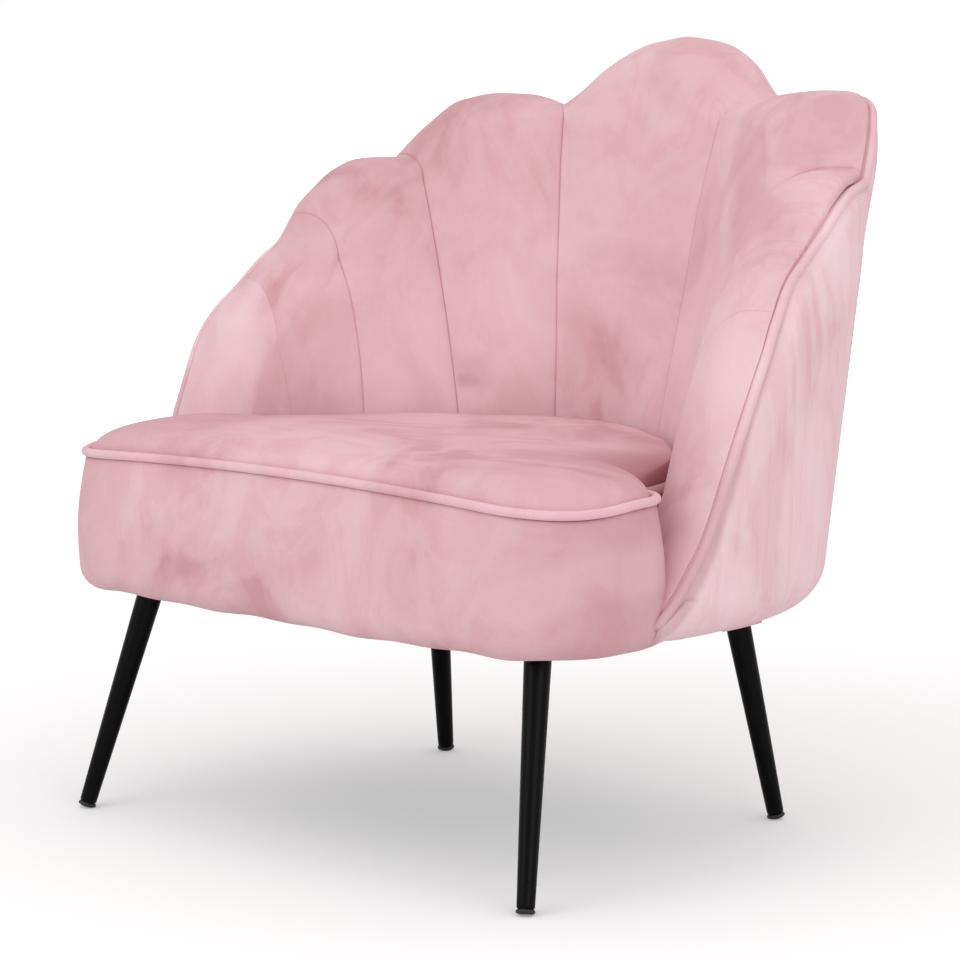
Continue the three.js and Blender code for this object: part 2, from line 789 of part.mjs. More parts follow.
function plateScrewSpots(place) {
  const turn = plateTurn(place);
  return [[-1, -1], [1, -1], [1, 1], [-1, 1]].map(([a, b]) => {
    const corner = new THREE.Vector2(a, b).multiplyScalar(plateScrewOffset);
    const spot = corner.rotateAround(new THREE.Vector2(), turn);
    return [place.x + spot.x, place.y + spot.y];
  });
}

// A square steel plate under the base board with a slanting boss that holds the leg's stud.
function legPlate(place, axis, studHole) {
  const half = plateHalfWidth;
  const flat = box(-half, half, -half, half, -plateThickness, 0);
  flat.rotateZ(plateTurn(place)).translate(place.x, place.y, baseBoardHeight - fitGap);
  const boss = rod(axis.at(0), axis.at(plateThickness + plateBossHeight), plateBossRadius);
  const above = box(-half, half, -half, half, 0, plateBossRadius);
  above.translate(place.x, place.y, baseBoardHeight - fitGap);
  return join([cut(join([flat, boss]), [studHole, above]), ...plateScrewSpots(place).map(plateScrew)]);
}

function plateScrew([x, y]) {
  const seat = baseBoardHeight - fitGap - plateThickness;
  const head = rod([x, y, seat - screwHeadHeight], [x, y, seat + plateThickness / 2], screwHeadRadius, 6);
  const shank = rod([x, y, seat], [x, y, seat + screwLength], screwRadius, 6);
  return join([head, shank]);
}

const legTopDistance = plateThickness + plateBossHeight + fitGap;

// A tapered leg with a bore for the stud in its head and a socket for the glide in its foot.
function leg(axis) {
  const length = axis.length - legTopDistance - legLift;
  const bore = studRadius + fitGap;
  const plug = glideSpigotRadius + fitGap;
  const socketTop = fitGap + glideSpigotLength - length;
  return alongLeg(turned([
    [0, socketTop], [plug, socketTop], [plug, -length], [legFootRadius, -length],
    [legTopRadius, 0], [bore, 0], [bore, -studInLeg], [0, -studInLeg],
  ], legSides), axis, legTopDistance);
}

// The glide plugs into the leg's foot, flares and ends in a level sole on the floor.
function glide(axis) {
  const circle = (radius) => Array.from({ length: glideSides }, (_, side) => {
    const angle = (side / glideSides) * Math.PI * 2;
    return new THREE.Vector3(radius * Math.cos(angle), radius * Math.sin(angle), 0);
  });
  const turn = new THREE.Quaternion().setFromUnitVectors(new THREE.Vector3(0, 0, -1), axis.down);
  const ring = (radius, distance) => circle(radius).map((point) => (
    point.applyQuaternion(turn).add(axis.at(distance)).toArray()
  ));
  const shoulder = axis.length - legLift + fitGap;
  return loft([
    ring(glideSpigotRadius, shoulder - glideSpigotLength),
    ring(glideSpigotRadius, shoulder),
    ring(legFootRadius, shoulder),
    ring(glideFlareRadius, axis.length - glideFlareHeight),
    circle(glideSoleRadius).map((point) => point.add(axis.foot).toArray()),
  ]);
}

function legParts() {
  const studHoles = [];
  const pilotHoles = [];
  for (const place of legPlaces) {
    const axis = legAxis(place);
    const holeTop = axis.at(-studInBoard - cutOverrun * doubledShare);
    const studHole = rod(holeTop, axis.at(legTopDistance + cutOverrun), studRadius + fitGap);
    const stud = rod(axis.at(-studInBoard), axis.at(legTopDistance + studInLeg - fitGap), studRadius);
    studHoles.push(studHole);
    add(`leg_plate_${place.name}`, legPlate(place, axis, studHole), zincSteel);
    add(`leg_stud_${place.name}`, stud, zincSteel);
    add(`leg_${place.name}`, leg(axis), blackSteel);
    add(`glide_${place.name}`, glide(axis), blackPlastic);
    for (const spot of plateScrewSpots(place)) {
      const foot = [...spot, baseBoardHeight - cutOverrun];
      const top = [...spot, baseBoardHeight + screwLength + fitGap];
      pilotHoles.push(rod(foot, top, screwRadius + fitGap, 6));
    }
  }
  add('base_board', baseBoard([...studHoles, ...pilotHoles]), plywood);
}

function dustCover() {
  const z1 = undersideHeight - fitGap;
  const z0 = z1 - dustCoverThickness;
  const holes = legPlaces.map((place) => {
    const axis = legAxis(place);
    const at = axis.at((baseBoardHeight - z0) / -axis.down.z);
    return rod([at.x, at.y, z0 - cutOverrun], [at.x, at.y, z1 + cutOverrun], dustCoverLegHoleRadius, 16);
  });
  return cut(plate(underOutline(dustCoverInset, dustCoverShellInset), z0, z1), holes);
}

// The shell

function shellParts() {
  const screwAt = (turn, radius, from, to) => {
    const z = ribFootHeight + ribHeight / 2;
    return rod(shellPoint(turn, z, from), shellPoint(turn, z, to), radius, 8);
  };
  const screwTip = shellBoardInset + shellScrewLength;
  const holes = shellScrewTurnShares.map((turn) => (
    screwAt(turn, screwRadius + fitGap, shellBoardInset - cutOverrun, screwTip + fitGap)
  ));
  const screws = shellScrewTurnShares.map((turn) => screwAt(turn, screwRadius, shellBoardInset, screwTip));
  add('outer_shell_cover', outerCover(), velvet);
  add('shell_wadding', shellLayer(waddingInset, waddingThickness, layerRowHeight), foam);
  const board = shellLayer(shellBoardInset, shellBoardThickness, shellBoardFootHeight);
  add('shell_board', cut(board, holes), plywood);
  add('shell_base_rib', join([shellRib(), ...screws]), plywood);
  add('rim_piping', rimPiping(), velvet);
}

function channelParts() {
  const blockTop = seatHeight + pipingRadius * doubledShare;
  const block = plate(insetOutline(outline, -fitGap), undersideHeight, blockTop);
  const seamRims = [0, ...rimSeamTurnShares];
  const seamFeet = [0, ...seatSeamTurnShares];
  const middleRim = betweenSeams([-seamRims[1], seamRims[1]], 1);
  const middleFoot = betweenSeams([-seamFeet[1], seamFeet[1]], 1);
  add('back_channel_middle', channelPad(middleFoot, middleRim, [seamBendShare, seamBendShare], 12), velvet);
  for (const side of [-1, 1]) {
    for (let lobe = 1; lobe < seamRims.length; lobe += 1) {
      const isArm = lobe === seamRims.length - 1;
      const rim = [seamRims[lobe], isArm ? armPadEndTurn() : seamRims[lobe + 1]];
      const foot = [seamFeet[lobe], isArm ? armPadFootTurnShare : seamFeet[lobe + 1]];
      const bends = [seamBendShare, isArm ? 1 : seamBendShare];
      const pad = channelPad(betweenSeams(foot, side), betweenSeams(rim, side), bends, isArm ? 12 : 9);
      if (isArm) {
        add(`arm_channel_${sideNames[side]}`, cut(pad, [block]), velvet);
      } else {
        add(`back_channel_${sideNames[side]}_${lobe}`, pad, velvet);
      }
    }
  }
}

shellParts();
channelParts();
add('seat_border', seatBorder(), velvet);
add('seat_piping', seatPiping(), velvet);
add('seat_top_pad', seatTopPad(), velvet);
const springTop = springParts(frameParts());
add('seat_foam_core', foamCore(springTop), foam);
legParts();
add('dust_cover', dustCover(), blackFelt);

// The origin lies on the floor under the middle of the chair
const bounds = new THREE.Box3().setFromObject(chair);
const centre = bounds.getCenter(new THREE.Vector3());
chair.position.set(-centre.x, -centre.y, -bounds.min.z);

export default chair;
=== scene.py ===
"""A scallop back chair in pink velvet: channelled shell back, piped box seat and black tapered legs.

Metres, +Z up, the front of the chair faces -Y. Each visible soft piece is a surface worked out with numpy from
the same plan, rim and outline as the model's frame, and stands for its solid there.
"""

import json
import logging
import math
from dataclasses import dataclass, replace
from enum import Enum

import bmesh
import bpy
import numpy as np
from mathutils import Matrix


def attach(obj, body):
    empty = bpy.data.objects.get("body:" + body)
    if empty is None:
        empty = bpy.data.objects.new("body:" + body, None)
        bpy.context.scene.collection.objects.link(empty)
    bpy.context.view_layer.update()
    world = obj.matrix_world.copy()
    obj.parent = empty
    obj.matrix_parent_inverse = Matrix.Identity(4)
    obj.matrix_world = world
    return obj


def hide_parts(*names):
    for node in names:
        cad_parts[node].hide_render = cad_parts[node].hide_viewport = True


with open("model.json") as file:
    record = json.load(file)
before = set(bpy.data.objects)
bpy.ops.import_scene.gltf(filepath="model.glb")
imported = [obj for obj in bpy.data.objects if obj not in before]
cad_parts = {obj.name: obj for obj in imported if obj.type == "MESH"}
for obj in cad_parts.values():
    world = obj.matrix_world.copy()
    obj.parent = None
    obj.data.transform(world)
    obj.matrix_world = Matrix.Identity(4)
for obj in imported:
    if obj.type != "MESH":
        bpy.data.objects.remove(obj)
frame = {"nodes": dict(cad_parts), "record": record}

LOG = logging.getLogger("scallop_chair")
CENTRE_Y = -0.10784442
TINY = 1e-6
Socket = bpy.types.NodeSocket


class Side(Enum):
    """The two sides of the chair, as someone who looks at its front sees them."""

    LEFT = -1
    RIGHT = 1


# ---- numbers and meshes ----


def mix(low: np.ndarray | float, high: np.ndarray | float, share: np.ndarray | float) -> np.ndarray | float:
    """Straight blend between two values or arrays.

    Args:
        low: value at share 0.
        high: value at share 1.
        share: the blend, often from 0 to 1.

    Returns:
        low + (high - low) * share.
    """
    return low + (high - low) * share


def smooth(low: float, high: float, value: np.ndarray) -> np.ndarray:
    """Smooth step: 3t^2 - 2t^3 of the clipped share t of the way from low to high."""
    t = np.clip((value - low) / (high - low), 0.0, 1.0)
    return t * t * (3.0 - 2.0 * t)


def bell(value: np.ndarray, middle: float, reach: float) -> np.ndarray:
    """Bell curve e^-((value - middle) / reach)^2."""
    return np.exp(-(((value - middle) / reach) ** 2))


def row(count: int) -> np.ndarray:
    """One row of evenly spaced shares from 0 to 1."""
    return np.linspace(0, 1, count)[None, :]


def lane_curve(table: tuple, at: np.ndarray) -> np.ndarray:
    """Cubic curve through points that never overshoots them.

    Each slope is the harmonic mean of the two slopes beside it, or 0 where they differ in sign, and each span is
    the cubic that has these slopes at its ends.

    Args:
        table: place and height of each point, by rising place.
        at: where the curve is wanted.

    Returns:
        The curve's height at each wanted place.
    """
    places, heights = np.array(table).T
    span = np.diff(places)
    slope = np.diff(heights) / span
    product = slope[:-1] * slope[1:]
    total = np.where(np.abs(slope[:-1] + slope[1:]) < 1e-9, 1.0, slope[:-1] + slope[1:])
    inner = np.where(product > 0, 2.0 * product / total, 0.0)
    tangent = np.concatenate([[slope[0]], inner, [slope[-1]]])
    index = np.clip(np.searchsorted(places, at, side="right") - 1, 0, len(span) - 1)
    t = np.clip((at - places[index]) / span[index], 0.0, 1.0)
    width = span[index]
    start = (2 * t**3 - 3 * t**2 + 1) * heights[index] + (t**3 - 2 * t**2 + t) * width * tangent[index]
    end = (3 * t**2 - 2 * t**3) * heights[index + 1] + (t**3 - t**2) * width * tangent[index + 1]
    return start + end


def linked(name: str, data: bpy.types.ID) -> bpy.types.Object:
    """A new object with this data, linked to the scene."""
    piece = bpy.data.objects.new(name, data)
    bpy.context.scene.collection.objects.link(piece)
    return piece


def mesh_object(name: str, points: np.ndarray, faces: np.ndarray) -> bpy.types.Object:
    """Makes a smoothly shaded mesh object at the origin.

    Args:
        name: the piece's name.
        points: vertices, n by 3.
        faces: four vertex numbers a face. A last number of -1 makes it a triangle, and triangles come last.

    Returns:
        The linked object.
    """
    mesh = bpy.data.meshes.new(name)
    quads = faces[:, 3] >= 0
    mesh.from_pydata(points.tolist(), [], faces[quads].tolist() + faces[~quads, :3].tolist())
    mesh.polygons.foreach_set("use_smooth", np.full(len(mesh.polygons), True))
    mesh.update()
    return linked(name, mesh)


def closed_object(name: str, points: np.ndarray, faces: np.ndarray) -> bpy.types.Object:
    """A mesh object whose faces look outwards.

    They are turned where the signed volume is negative: the sum over triangles of a . (b x c), with each quad as
    two triangles. The arguments are mesh_object's.
    """
    a, b, c, d = (points[faces[:, k]] for k in range(4))
    quads = faces[:, 3] >= 0
    first = np.einsum("ij,ij->i", a, np.cross(b, c))
    second = np.where(quads, np.einsum("ij,ij->i", a, np.cross(c, d)), 0.0)
    if (first + second).sum() < 0:
        turned = faces.copy()
        turned[quads] = faces[quads][:, ::-1]
        turned[~quads, 1:3] = faces[~quads, 2:0:-1]
        faces = turned
    return mesh_object(name, points, faces)


def sheet_faces(rows: int, columns: int, wrap_rows: bool = False, wrap_columns: bool = False) -> np.ndarray:
    """Quads of a grid of points that is stored row by row.

    Args:
        rows: number of rows.
        columns: number of columns.
        wrap_rows: whether the last row joins the first.
        wrap_columns: whether the last column joins the first.

    Returns:
        Four vertex numbers for each quad.
    """
    r = np.arange(rows if wrap_rows else rows - 1)
    c = np.arange(columns if wrap_columns else columns - 1)
    rr, cc = np.meshgrid(r, c, indexing="ij")
    after_r = (rr + 1) % rows
    after_c = (cc + 1) % columns
    corners = [rr * columns + cc, rr * columns + after_c, after_r * columns + after_c, after_r * columns + cc]
    return np.stack([corner.ravel() for corner in corners], axis=1)


def slab_object(name: str, front: np.ndarray, back: np.ndarray) -> bpy.types.Object:
    """A closed body between two grids of points with the same rows and columns, joined round their edges."""
    rows, columns = front.shape[:2]
    start = rows * columns
    face = sheet_faces(rows, columns)
    index = np.arange(start).reshape(rows, columns)
    edge = np.concatenate([index[0, :-1], index[:-1, -1], index[-1, :0:-1], index[:0:-1, 0]])
    after = np.roll(edge, -1)
    rim = np.stack([edge, edge + start, after + start, after], axis=1)
    points = np.concatenate([front.reshape(-1, 3), back.reshape(-1, 3)])
    return closed_object(name, points, np.concatenate([face, face[:, ::-1] + start, rim]))


def ring_object(name: str, sections: np.ndarray, closed_path: bool, ends: tuple | None = None) -> bpy.types.Object:
    """Closed sections along a path: a closed ring, or a tube whose two ends are fanned shut.

    Args:
        name: the piece's name.
        sections: sections by points by 3.
        closed_path: whether the last section joins the first.
        ends: middle points of the two fans, or None for the middles of the end sections.

    Returns:
        The linked object.
    """
    count, sides = sections.shape[:2]
    faces = sheet_faces(count, sides, wrap_rows=closed_path, wrap_columns=True)
    points = sections.reshape(-1, 3)
    if not closed_path:
        side = np.arange(sides)
        after = (side + 1) % sides
        low, high = len(points), len(points) + 1
        last = (count - 1) * sides
        none = np.full(sides, -1)
        fans = [np.stack([np.full(sides, low), after, side, none], axis=1),
                np.stack([np.full(sides, high), last + side, last + after, none], axis=1)]
        points = np.concatenate([points, ends or (sections[0].mean(0), sections[-1].mean(0))])
        faces = np.concatenate([faces, *fans])
    return closed_object(name, points, faces)


def tube_sections(path: np.ndarray, radius: float, sides: int, closed: bool) -> np.ndarray:
    """Circles square to a path: centre + radius * (cos a * across + sin a * up).

    across is the cross product of the path's direction and the vertical, so it must not run straight up.

    Args:
        path: points of the centre line.
        radius: the tube's radius.
        sides: points in a circle.
        closed: whether the path ends where it starts.

    Returns:
        An array of len(path) by sides by 3.
    """
    if closed:
        along = np.roll(path, -1, axis=0) - np.roll(path, 1, axis=0)
    else:
        along = np.gradient(path, axis=0)
    along /= np.linalg.norm(along, axis=1, keepdims=True)
    across = np.cross(along, np.array([0.0, 0.0, 1.0]))
    across /= np.linalg.norm(across, axis=1, keepdims=True)
    up = np.cross(across, along)
    angle = np.linspace(0, 2 * np.pi, sides, endpoint=False)
    ring = np.cos(angle)[None, :, None] * across[:, None] + np.sin(angle)[None, :, None] * up[:, None]
    return path[:, None] + radius * ring


def along_path(path: np.ndarray, count: int, closed: bool) -> np.ndarray:
    """The path resampled to evenly spaced points, by the length along it."""
    ring = np.concatenate([path, path[:1]]) if closed else path
    length = np.concatenate([[0.0], np.cumsum(np.linalg.norm(np.diff(ring, axis=0), axis=1))])
    at = np.linspace(0, length[-1], count, endpoint=not closed)
    return np.stack([np.interp(at, length, ring[:, k]) for k in range(3)], axis=1)


# ---- the shell's plan and rim ----


@dataclass(frozen=True)
class ShellPlan:
    """Plan and rim of the tub. turn is a share of a quarter turn: 0 at the middle of the back, 1 at the side.

    lobes holds angle and height of the rim's points, in degrees and metres, leans and rim_shifts hold turns and
    lengths.
    """

    foot_z: float = 0.235
    head_z: float = 0.809
    foot_half_width: float = 0.390
    head_half_width: float = 0.413
    foot_depth: float = 0.323
    head_depth: float = 0.434
    exponent: float = 3.0
    lobes: tuple = (
        ((0.0, 0.809), (6.0, 0.8045), (12.0, 0.789), (16.0, 0.770), (20.0, 0.750), (24.0, 0.736)),
        ((24.0, 0.736), (27.0, 0.744), (30.0, 0.749), (35.0, 0.751), (40.0, 0.743), (45.0, 0.711), (49.7, 0.672)),
        ((49.7, 0.672), (52.0, 0.671), (56.0, 0.668), (60.0, 0.656), (64.0, 0.634), (69.0, 0.606)),
        ((69.0, 0.606), (73.0, 0.586), (77.0, 0.556)),
        ((77.0, 0.556), (81.0, 0.524), (84.6, 0.489), (88.2, 0.439), (91.8, 0.382), (95.4, 0.334), (99.0, 0.292),
         (102.0, 0.272), (105.0, 0.264)),
    )
    leans: tuple = ((0.0, 0.0), (0.30, 0.001), (0.45, 0.003), (0.53, 0.007), (0.60, 0.011), (0.67, 0.016),
                    (0.73, 0.020), (0.77, 0.021), (0.81, 0.019), (0.86, 0.012), (0.90, 0.004), (0.95, -0.001),
                    (1.2, -0.001))
    lean_height: float = 0.100
    rim_shifts: tuple = (
        (-1.2, 0.0), (-0.95, 0.0), (-0.86, -0.010), (-0.79, -0.015), (-0.72, 0.004), (-0.55, 0.001),
        (-0.42, -0.008), (-0.28, -0.004), (-0.20, 0.005), (-0.13, -0.001), (-0.06, -0.003), (0.0, -0.001),
        (0.10, -0.003), (0.17, -0.007), (0.24, 0.002), (0.38, 0.005), (0.50, 0.006), (0.62, 0.004), (0.75, 0.0),
        (1.2, 0.0))
    notch_shift: float = 2.6
    notch_angle: float = 21.4
    notch_reach: float = 9.0
    end_gather: float = 0.015
    end_gather_turns: tuple = (1.03, 1.115)
    tuck: float = 0.0065
    tuck_heights: tuple = (0.60, 0.70)
    corner_fill: float = 0.050
    arm_fill: float = 0.017
    arm_fill_turns: tuple = (0.42, 0.72)
    slant_step: float = 0.01
    slant_limit: float = 2.4

    def point(self, turn: np.ndarray, z: np.ndarray, inset: np.ndarray) -> np.ndarray:
        """A point by its turn, height and distance in from the outer face.

        Behind the sides the plan is a squared oval: its reach r at an angle satisfies
        (r sin / half width)^3 + (r cos / depth)^3 = 1. In front of them it runs straight forward.

        Args:
            turn: share of a quarter turn, negative to the left.
            z: height above the floor.
            inset: distance in from the outer face.

        Returns:
            Points with x, y and z on the last axis.
        """
        turn, z, inset = np.broadcast_arrays(np.asarray(turn, float), z, inset)
        share = (z - self.foot_z) / (self.head_z - self.foot_z)
        half = mix(self.foot_half_width, self.head_half_width, share) - inset
        depth = mix(self.foot_depth, self.head_depth, share) - inset
        across = np.sin(turn * np.pi / 2)
        back = np.cos(turn * np.pi / 2)
        total = (np.abs(across) / half) ** self.exponent + (np.maximum(back, 0.0) / depth) ** self.exponent
        reach = total ** (-1.0 / self.exponent)
        side = np.where(back > 0, reach * across, half * np.sign(turn))
        ahead = np.where(back > 0, reach * back, half * back / np.maximum(np.abs(across), TINY))
        return np.stack([side, ahead + CENTRE_Y, z], axis=-1)

    def rim(self, turn: np.ndarray) -> np.ndarray:
        """Height of the rim: one cubic curve for each lobe, which meet at the seams' notches.

        On the right the first notch stands 2.6 degrees nearer the middle, faded over 9 degrees, and a smooth curve
        of small shifts makes the two sides as uneven as hand-sewn ones.
        """
        turn = np.asarray(turn, float)
        angle = np.abs(turn) * 90.0
        near = bell(angle, self.notch_angle, self.notch_reach)
        angle = angle + np.where(turn > 0, self.notch_shift * near, 0.0)
        height = np.zeros_like(angle)
        for lobe in self.lobes:
            inside = (angle >= lobe[0][0]) & (angle <= lobe[-1][0])
            height = np.where(inside, lane_curve(lobe, angle), height)
        last_angle, last_height = self.lobes[-1][-1]
        return np.where(angle > last_angle, last_height, height) + lane_curve(self.rim_shifts, turn)

    def lean(self, turn: np.ndarray) -> np.ndarray:
        """How far the outside of the rim leans inwards, a smooth curve over the turn."""
        return lane_curve(self.leans, np.abs(np.asarray(turn, float)))

    def near_rim(self, turn: np.ndarray, z: np.ndarray) -> np.ndarray:
        """1 at the rim, falling straight to 0 where the lean starts, 100 mm below it."""
        return np.clip(1.0 - (self.rim(turn) - z) / self.lean_height, 0.0, 1.0)

    def gather(self, turn: np.ndarray) -> np.ndarray:
        """How far the ends of the arms are drawn in to the seat: a smooth step of 15 mm over the last turns."""
        return self.end_gather * smooth(*self.end_gather_turns, np.abs(np.asarray(turn, float)))

    def drawn_in(self, turn: np.ndarray, z: np.ndarray) -> np.ndarray:
        """How far the cover is drawn in: gathered at the arms' ends, and tucked at the back's corners.

        The tuck is 6.5 mm * sin^2(pi turn), and less from 0.6 m upwards.
        """
        place = np.minimum(np.abs(turn), 1.0)
        tucked = self.tuck * np.sin(place * np.pi) ** 2 * (1.0 - smooth(*self.tuck_heights, z))
        return tucked + self.gather(turn)

    def fill(self, turn: np.ndarray, share: np.ndarray) -> np.ndarray:
        """Extra stuffing, which rounds the corners of the back and thickens the arms.

        The corner's part is 50 mm * sin^2(pi turn) * (1 - share^6), and the arm's part rises to 17 mm on a smooth
        step of the turn.
        """
        place = np.minimum(np.abs(turn), 1.0)
        corner = self.corner_fill * np.sin(place * np.pi) ** 2 * (1.0 - np.clip(share, 0, 1) ** 6)
        return corner + self.arm_fill * smooth(*self.arm_fill_turns, place)

    def slant(self, turn: np.ndarray) -> np.ndarray:
        """How much longer an upright line is than the square distance to the rim, at most 2.4."""
        low = self.point(turn - self.slant_step, self.rim(turn), 0.0)
        high = self.point(turn + self.slant_step, self.rim(turn), 0.0)
        run = np.linalg.norm((high - low)[..., :2], axis=-1)
        rise = self.rim(turn + self.slant_step) - self.rim(turn - self.slant_step)
        return np.minimum(np.hypot(1.0, rise / run), self.slant_limit)

    def below_rim(self, turn: np.ndarray, distance: float) -> np.ndarray:
        """Height of a line that keeps a square distance below the rim."""
        return self.rim(turn) - distance * self.slant(turn)


PLAN = ShellPlan()


# ---- finishes ----


def linear(red: int, green: int, blue: int) -> tuple[float, float, float, float]:
    """The linear colour of an 8-bit screen colour: ((c / 255 + 0.055) / 1.055)^2.4 above 0.04045."""
    shares = [value / 255.0 for value in (red, green, blue)]
    return *(c / 12.92 if c <= 0.04045 else ((c + 0.055) / 1.055) ** 2.4 for c in shares), 1.0


def grey(value: float) -> tuple[float, float, float, float]:
    """A linear grey."""
    return value, value, value, 1.0


class Tree:
    """A node tree that is built up step by step."""

    def __init__(self, owner: bpy.types.ID) -> None:
        """Empties the tree of a material or a world."""
        owner.use_nodes = True
        self.tree = owner.node_tree
        self.tree.nodes.clear()

    def feed(self, value: Socket | float | tuple, target: Socket) -> None:
        """Links a socket to an input, or sets the input to a plain value."""
        if isinstance(value, Socket):
            self.tree.links.new(value, target)
        else:
            target.default_value = value

    def set(self, node: bpy.types.Node, **values: Socket | float | tuple) -> bpy.types.Node:
        """Feeds a node's inputs by their names, with _ for a space."""
        for name, value in values.items():
            self.feed(value, node.inputs[name.replace("_", " ")])
        return node

    def node(self, kind: str, **values: Socket | float | tuple) -> bpy.types.Node:
        """Adds a shader node of a kind, such as Mapping, and feeds its inputs by their names."""
        return self.set(self.tree.nodes.new("ShaderNode" + kind), **values)

    def maths(self, kind: str, first: Socket | float, second: Socket | float, clamp: bool = False) -> Socket:
        """A Math node over sockets or numbers.

        Args:
            kind: the operation.
            first: first value.
            second: second value.
            clamp: whether the result is kept between 0 and 1.

        Returns:
            The value socket.
        """
        node = self.node("Math")
        node.operation = kind
        node.use_clamp = clamp
        self.feed(first, node.inputs[0])
        self.feed(second, node.inputs[1])
        return node.outputs[0]


class Recipe(Tree):
    """A material's tree, which starts with a Principled shader and object coordinates."""

    def __init__(self, name: str) -> None:
        """Starts the material."""
        self.material = bpy.data.materials.new(name)
        super().__init__(self.material)
        self.shader = self.node("BsdfPrincipled")
        self.output = self.node("OutputMaterial", Surface=self.shader.outputs["BSDF"])
        self.place = self.node("TexCoord").outputs["Object"]

    def stretched(self, scale: tuple, turn: tuple = (0, 0, 0)) -> Socket:
        """Object coordinates scaled along the three axes, after a rotation in radians."""
        return self.node("Mapping", Vector=self.place, Scale=scale, Rotation=turn).outputs["Vector"]

    def noise(self, vector: Socket, scale: float, detail: float, roughness: float = 0.5,
              distortion: float = 0.0) -> Socket:
        """A Noise texture's value.

        Args:
            vector: coordinates.
            scale: waves a metre.
            detail: octaves.
            roughness: how strong the small octaves are.
            distortion: how much the pattern swirls.

        Returns:
            The value socket, about 0 to 1.
        """
        return self.node("TexNoise", Vector=vector, Scale=scale, Detail=detail, Roughness=roughness,
                         Distortion=distortion).outputs["Fac"]

    def ramp(self, value: Socket, *stops: tuple[float, tuple]) -> Socket:
        """A colour ramp over a value, eased between its stops of place and colour."""
        node = self.node("ValToRGB", Fac=value)
        node.color_ramp.interpolation = "EASE"
        elements = node.color_ramp.elements
        while len(elements) < len(stops):
            elements.new(0.5)
        for element, (place, colour) in zip(elements, stops):
            element.position = place
            element.color = colour
        return node.outputs["Color"]

    def blend(self, kind: str, share: Socket | float, first: Socket, second: Socket | tuple) -> Socket:
        """Mixes two colours.

        Args:
            kind: MIX, MULTIPLY, OVERLAY and so on.
            share: how much of the second.
            first: first colour.
            second: second colour.

        Returns:
            The mixed colour socket.
        """
        node = self.node("Mix")
        node.data_type = "RGBA"
        node.blend_type = kind
        for value, index in ((share, 0), (first, 6), (second, 7)):
            self.feed(value, node.inputs[index])
        return node.outputs[2]

    def bump(self, height: Socket, strength: float, distance: float, **before: Socket) -> Socket:
        """A Bump node.

        Args:
            height: the height socket.
            strength: how strongly it turns the normal.
            distance: height of a value of 1, in metres.
            before: Normal, a socket that it starts from.

        Returns:
            The normal socket.
        """
        return self.node("Bump", Height=height, Strength=strength, Distance=distance, **before).outputs["Normal"]


@dataclass(frozen=True)
class Velvet:
    """Short-pile velvet: brushed patches where the nap leans, a soft sheen and a fine pile."""

    name: str = "pink_velvet"
    base: tuple = linear(224, 181, 187)
    dark: tuple = linear(212, 162, 169)
    light: tuple = linear(231, 191, 198)
    # deep and pale: colours of painted shade and painted light, which the stored tone mixes in; deep also darkens the
    # pressed marks
    deep: tuple = linear(190, 134, 142)
    pale: tuple = linear(243, 212, 219)
    sheen: tuple = linear(255, 214, 224)
    streaks: tuple = (1.0, 1.0, 0.8)
    streak_turn: tuple = (0.3, 0.2, 0.4)
    stroke_waves: float = 11.0
    patch_waves: float = 5.0
    pile_waves: float = 900.0
    nap_waves: float = 60.0
    contrast: float = 0.9
    marks: tuple = (0.458, 0.505, 0.532)

    def build(self) -> bpy.types.Material:
        """Broad patches and brush strokes choose among three tones, then the stored tone shifts the colour.

        The patches are warped noise whose edges are a little crisp, as where a hand has stroked the nap. A fine
        noise gives the pile.
        """
        recipe = Recipe(self.name)
        broad = recipe.noise(recipe.stretched((1, 1, 0.8)), self.patch_waves, 5.0, 0.55, 0.8)
        strokes = recipe.noise(recipe.stretched(self.streaks, self.streak_turn), self.stroke_waves, 6.0, 0.62, 1.4)
        patches = recipe.ramp(broad, (0.38, self.dark), (0.48, self.base), (0.60, self.light))
        marks = recipe.ramp(strokes, *zip((0.42, 0.50, 0.60), map(grey, self.marks)))
        colour = recipe.blend("OVERLAY", self.contrast, patches, marks)
        tone = recipe.node("Attribute")
        tone.attribute_name = "tone"
        # the stored tone mixes in painted shade toward deep and painted light toward pale
        for sign, target in ((-1.0, self.deep), (1.0, self.pale)):
            share = recipe.maths("MULTIPLY", tone.outputs["Fac"], sign, clamp=True)
            colour = recipe.blend("MIX", share, colour, target)
        pile = recipe.noise(recipe.place, self.pile_waves, 2.0, 0.6)
        colour = recipe.blend("MULTIPLY", 0.6, colour, recipe.ramp(pile, (0.3, grey(0.93)), (0.7, grey(1.0))))
        nap = recipe.noise(recipe.place, self.nap_waves, 3.0, 0.6, 0.5)
        normal = recipe.bump(nap, 0.12, 0.002, Normal=recipe.bump(pile, 0.25, 0.0006))
        recipe.set(recipe.shader, Base_Color=colour, Normal=normal, Roughness=0.9, Sheen_Weight=0.22,
                   Sheen_Roughness=0.5, Sheen_Tint=self.sheen, Specular_IOR_Level=0.12)
        return recipe.material


@dataclass(frozen=True)
class PaintedSteel:
    """Satin black paint on tube, with faint orange peel and rubbed spots."""

    name: str = "black_paint"
    base: tuple = linear(5, 5, 5)
    rubbed: tuple = linear(12, 11, 11)
    spot_waves: float = 22.0
    skin_waves: float = 420.0

    def build(self) -> bpy.types.Material:
        """A low noise lightens and dulls rubbed spots, and a fine one gives the paint's skin."""
        recipe = Recipe(self.name)
        uneven = recipe.noise(recipe.place, self.spot_waves, 4.0, 0.6)
        skin = recipe.noise(recipe.place, self.skin_waves, 2.0)
        recipe.set(recipe.shader, Base_Color=recipe.ramp(uneven, (0.5, self.base), (0.75, self.rubbed)),
                   Normal=recipe.bump(skin, 0.12, 0.0004),
                   Roughness=recipe.ramp(uneven, (0.35, grey(0.2)), (0.75, grey(0.34))), Specular_IOR_Level=0.10)
        return recipe.material


